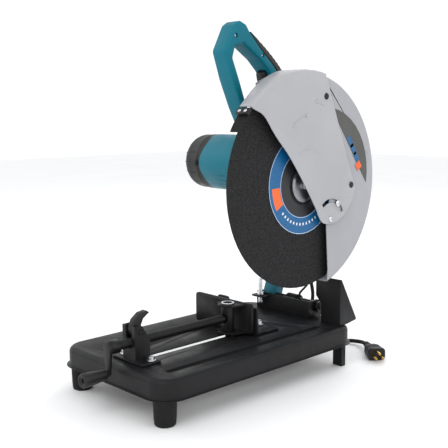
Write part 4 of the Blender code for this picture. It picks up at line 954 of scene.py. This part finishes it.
def end_cap():
    """Black bearing cap with ribs round its shoulder, an edge bead and a knob on each side."""
    place = (0, *MOTOR)
    profile = [(0.0455, -0.0953), (0.0492, -0.0953), (0.0497, -0.0962), (0.0497, -0.0990), (0.0490, -0.1000),
               (0.0490, -0.1180), (0.0482, -0.1230), (0.0466, -0.1275), (0.0440, -0.1312), (0.0405, -0.1336),
               (0.0360, -0.1350), (0.0300, -0.1360), (0.0180, -0.1360), (0.0170, -0.1350), (0.0150, -0.1350),
               (0.0140, -0.1360), (0.0030, -0.1360), (0.0030, -0.1325), (0.0290, -0.1325), (0.0385, -0.1305),
               (0.0435, -0.1250), (0.0455, -0.1180)]
    cap = turned("bearing_cap", profile, TO_YZ, place, "black_plastic", 96)
    for i in range(8):
        a = radians(22.5 + 45 * i)
        out, along = Vector((0, cos(a), sin(a))), Vector((0, -sin(a), cos(a)))
        vent = rounded([(-0.006, -0.0022), (0.006, -0.0022), (0.006, 0.0022), (-0.006, 0.0022)], 0.002, 4)
        slot = plate("vent", [vent], TO_XY, 0, 0.016, "black_plastic")
        for vert in slot.data.vertices:
            p = vert.co - SHIFT
            vert.co = Vector((-0.1110 + p.x, *MOTOR)) + along * p.y + out * (0.0400 + p.z) + SHIFT
        cut(cap, slot)
    parts = [turned("cap_centre", [(0, -0.1352), (0.0031, -0.1352), (0.0031, -0.1330), (0, -0.1330)],
                    TO_YZ, place, "black_plastic", 24)]
    for i in range(16):
        a = radians(22.5 * i)
        out, along = Vector((0, cos(a), sin(a))), Vector((0, -sin(a), cos(a)))
        rib = box_mesh("rib", (-0.1335, -0.0011, 0.0405), (-0.1215, 0.0011, 0.0478))
        for vert in rib.data.vertices:
            p = vert.co.copy()
            lean = 0.0045 if p.x < -0.13 and p.z > 0.045 else 0.0
            vert.co = Vector((p.x, *MOTOR)) + along * p.y + out * (p.z - lean) + SHIFT
        parts.append(bevelled(rib, 0.0004))
    for y_side in (-1, 1):
        turn = Vector((0, y_side, 0)).to_track_quat("Z", "X").to_matrix()
        knob = [(0, 0.0518), (0.0042, 0.0518), (0.0052, 0.0510), (0.0052, 0.0470), (0, 0.0470)]
        parts.append(turned("brush_cap", knob, turn, (-0.0985, *MOTOR), "black_plastic", 32))
    placed(merge(cap, *parts), "head", "black_plastic", "end_cap")


def box_mesh(name, low, high):
    bm = bmesh.new()
    bmesh.ops.create_cube(bm, size=1)
    for vert in bm.verts:
        vert.co = Vector([l + (h - l) * (c + 0.5) for l, h, c in zip(low, high, vert.co)])
    mesh = bpy.data.meshes.new(name)
    bm.to_mesh(mesh)
    bm.free()
    obj = bpy.data.objects.new(name, mesh)
    bpy.context.scene.collection.objects.link(obj)
    mesh.materials.append(MAT["black_plastic"])
    return obj


# ---------------------------------------------------------------- handle
BAR_POINT, BAR_ALONG, BAR_OUT = Vector((0.1005, 0.5090)), Vector((0.649, -0.761)), Vector((0.761, 0.649))
GRIP_LINE = [(0.0500, 0.5850), (0.0810, 0.5640), (0.1090, 0.5420), (0.1290, 0.5220), (0.1480, 0.4920)]


def bar(t, n):
    """A point given along and across the grip's bar."""
    return tuple(BAR_POINT + BAR_ALONG * t + BAR_OUT * n)


def grip_inner(extra):
    shifts = (0.001, 0.0075, 0.0085, 0.0085, 0.004)
    return [(y - 0.66 * (s + extra), z - 0.75 * (s + extra)) for (y, z), s in zip(GRIP_LINE, shifts)]


def handle():
    """The moulded handle, seated round the motor, with a pocket and sunk screws."""
    outer = [(0.0620, 0.392), (0.0560, 0.412), (0.0290, 0.460), (0.0080, 0.506), (-0.0080, 0.552),
             (0.0140, 0.594), (0.0260, 0.6015), (0.0400, 0.5960)]
    outer += grip_inner(0.0003) + [(0.1560, 0.462), (0.1560, 0.420), (0.1480, 0.398), (0.1420, 0.392)]
    hole = [(0.0500, 0.446), (0.0360, 0.476), (0.0250, 0.504), (0.0090, 0.541), (0.0150, 0.560),
            (0.0330, 0.566), (0.0730, 0.541), (0.0930, 0.523), (0.1080, 0.500), (0.1180, 0.474),
            (0.1140, 0.452), (0.0960, 0.440), (0.0660, 0.438)]
    corners = [0, 0, 0.02, 0.02, 0.010, 0.010, 0.006, 0.006] + [0] * 5 + [0.02, 0.02, 0.006, 0.004]
    soft = rounded(outer, corners)
    inner = rounded(hole, [0.01, 0.02, 0.02, 0.006, 0.006, 0.008, 0.02, 0, 0.01, 0.01, 0.008, 0.01, 0.01])
    low, high = HANDLE_X - HANDLE_W / 2, HANDLE_X + HANDLE_W / 2
    obj = plate("handle_shells", [soft, inner], TO_YZ, low, high, "teal_plastic", 0.004, 3)
    seat = [(0, low - 0.01), (MOTOR_R + 0.0006, low - 0.01), (MOTOR_R + 0.0006, high + 0.01), (0, high + 0.01)]
    cut(obj, turned("seat", seat, TO_YZ, (0, *MOTOR), "teal_plastic", 96))
    pocket = [bar(-0.0175, -0.006), bar(0.0175, -0.006), bar(0.0175, 0.0105), bar(-0.0175, 0.0105)]
    cut(obj, plate("pocket", [pocket], TO_YZ, 0.0135, 0.0325, "teal_plastic"))
    screws = []
    for y, z in ((0.0160, 0.5770), (0.0335, 0.4660), (0.1350, 0.4500), (0.0780, 0.4290), (0.0790, 0.5480)):
        cut(obj, turned("screw_well", [(0, high + 0.001), (0.0036, high + 0.001), (0.0036, high - 0.0040),
                                       (0, high - 0.0040)], TO_YZ, (0, y, z), "teal_plastic", 28))
        head = [(0, high - 0.0022), (0.0018, high - 0.0023), (0.0030, high - 0.0030), (0.0033, high - 0.0041),
                (0, high - 0.0041)]
        screws.append(turned("screw", head, TO_YZ, (0, y, z), "zinc", 24))
    placed(merge(obj, *screws), "head", "teal_plastic", "handle", sharp=30)


def soft_grip():
    """The rubber pad on the bar, rounded over and with fine cross grooves."""
    outer = [Vector(p) for p in GRIP_LINE]
    low, high = HANDLE_X - HANDLE_W / 2 + 0.0006, HANDLE_X + HANDLE_W / 2 - 0.0006
    line = [p.xy for p in through([(*p, 0) for p in outer], 7)]
    inside = [p.xy for p in through([(*p, 0) for p in grip_inner(0)], 7)]
    ridged = []
    for i, p in enumerate(line):
        out = (p - inside[i]).normalized()
        ridged.append(tuple(p + out * (-0.0008 if i % 2 and 3 < i < len(line) - 4 else 0.0)))
    outline = ridged + [tuple(p) for p in reversed(inside)]
    placed(bevelled(plate("soft_grip", [outline], TO_YZ, low, high, "grip_rubber"), 0.0022, 4, 50),
           "head", "rubber", "rubber_grip", sharp=50)


# ---------------------------------------------------------------- everything
make_materials()
studio()
camera()
floor()
dress_frame()
relief = strain_relief()
plug_piece = power_plug()
mains_lead()
base()
front_feet()
vise()
spring()
fixed_guard()
front_cover()
clamp()
guard_screws()
panel_marks()
motor_case()
end_cap()
handle()
soft_grip()
polish_all()
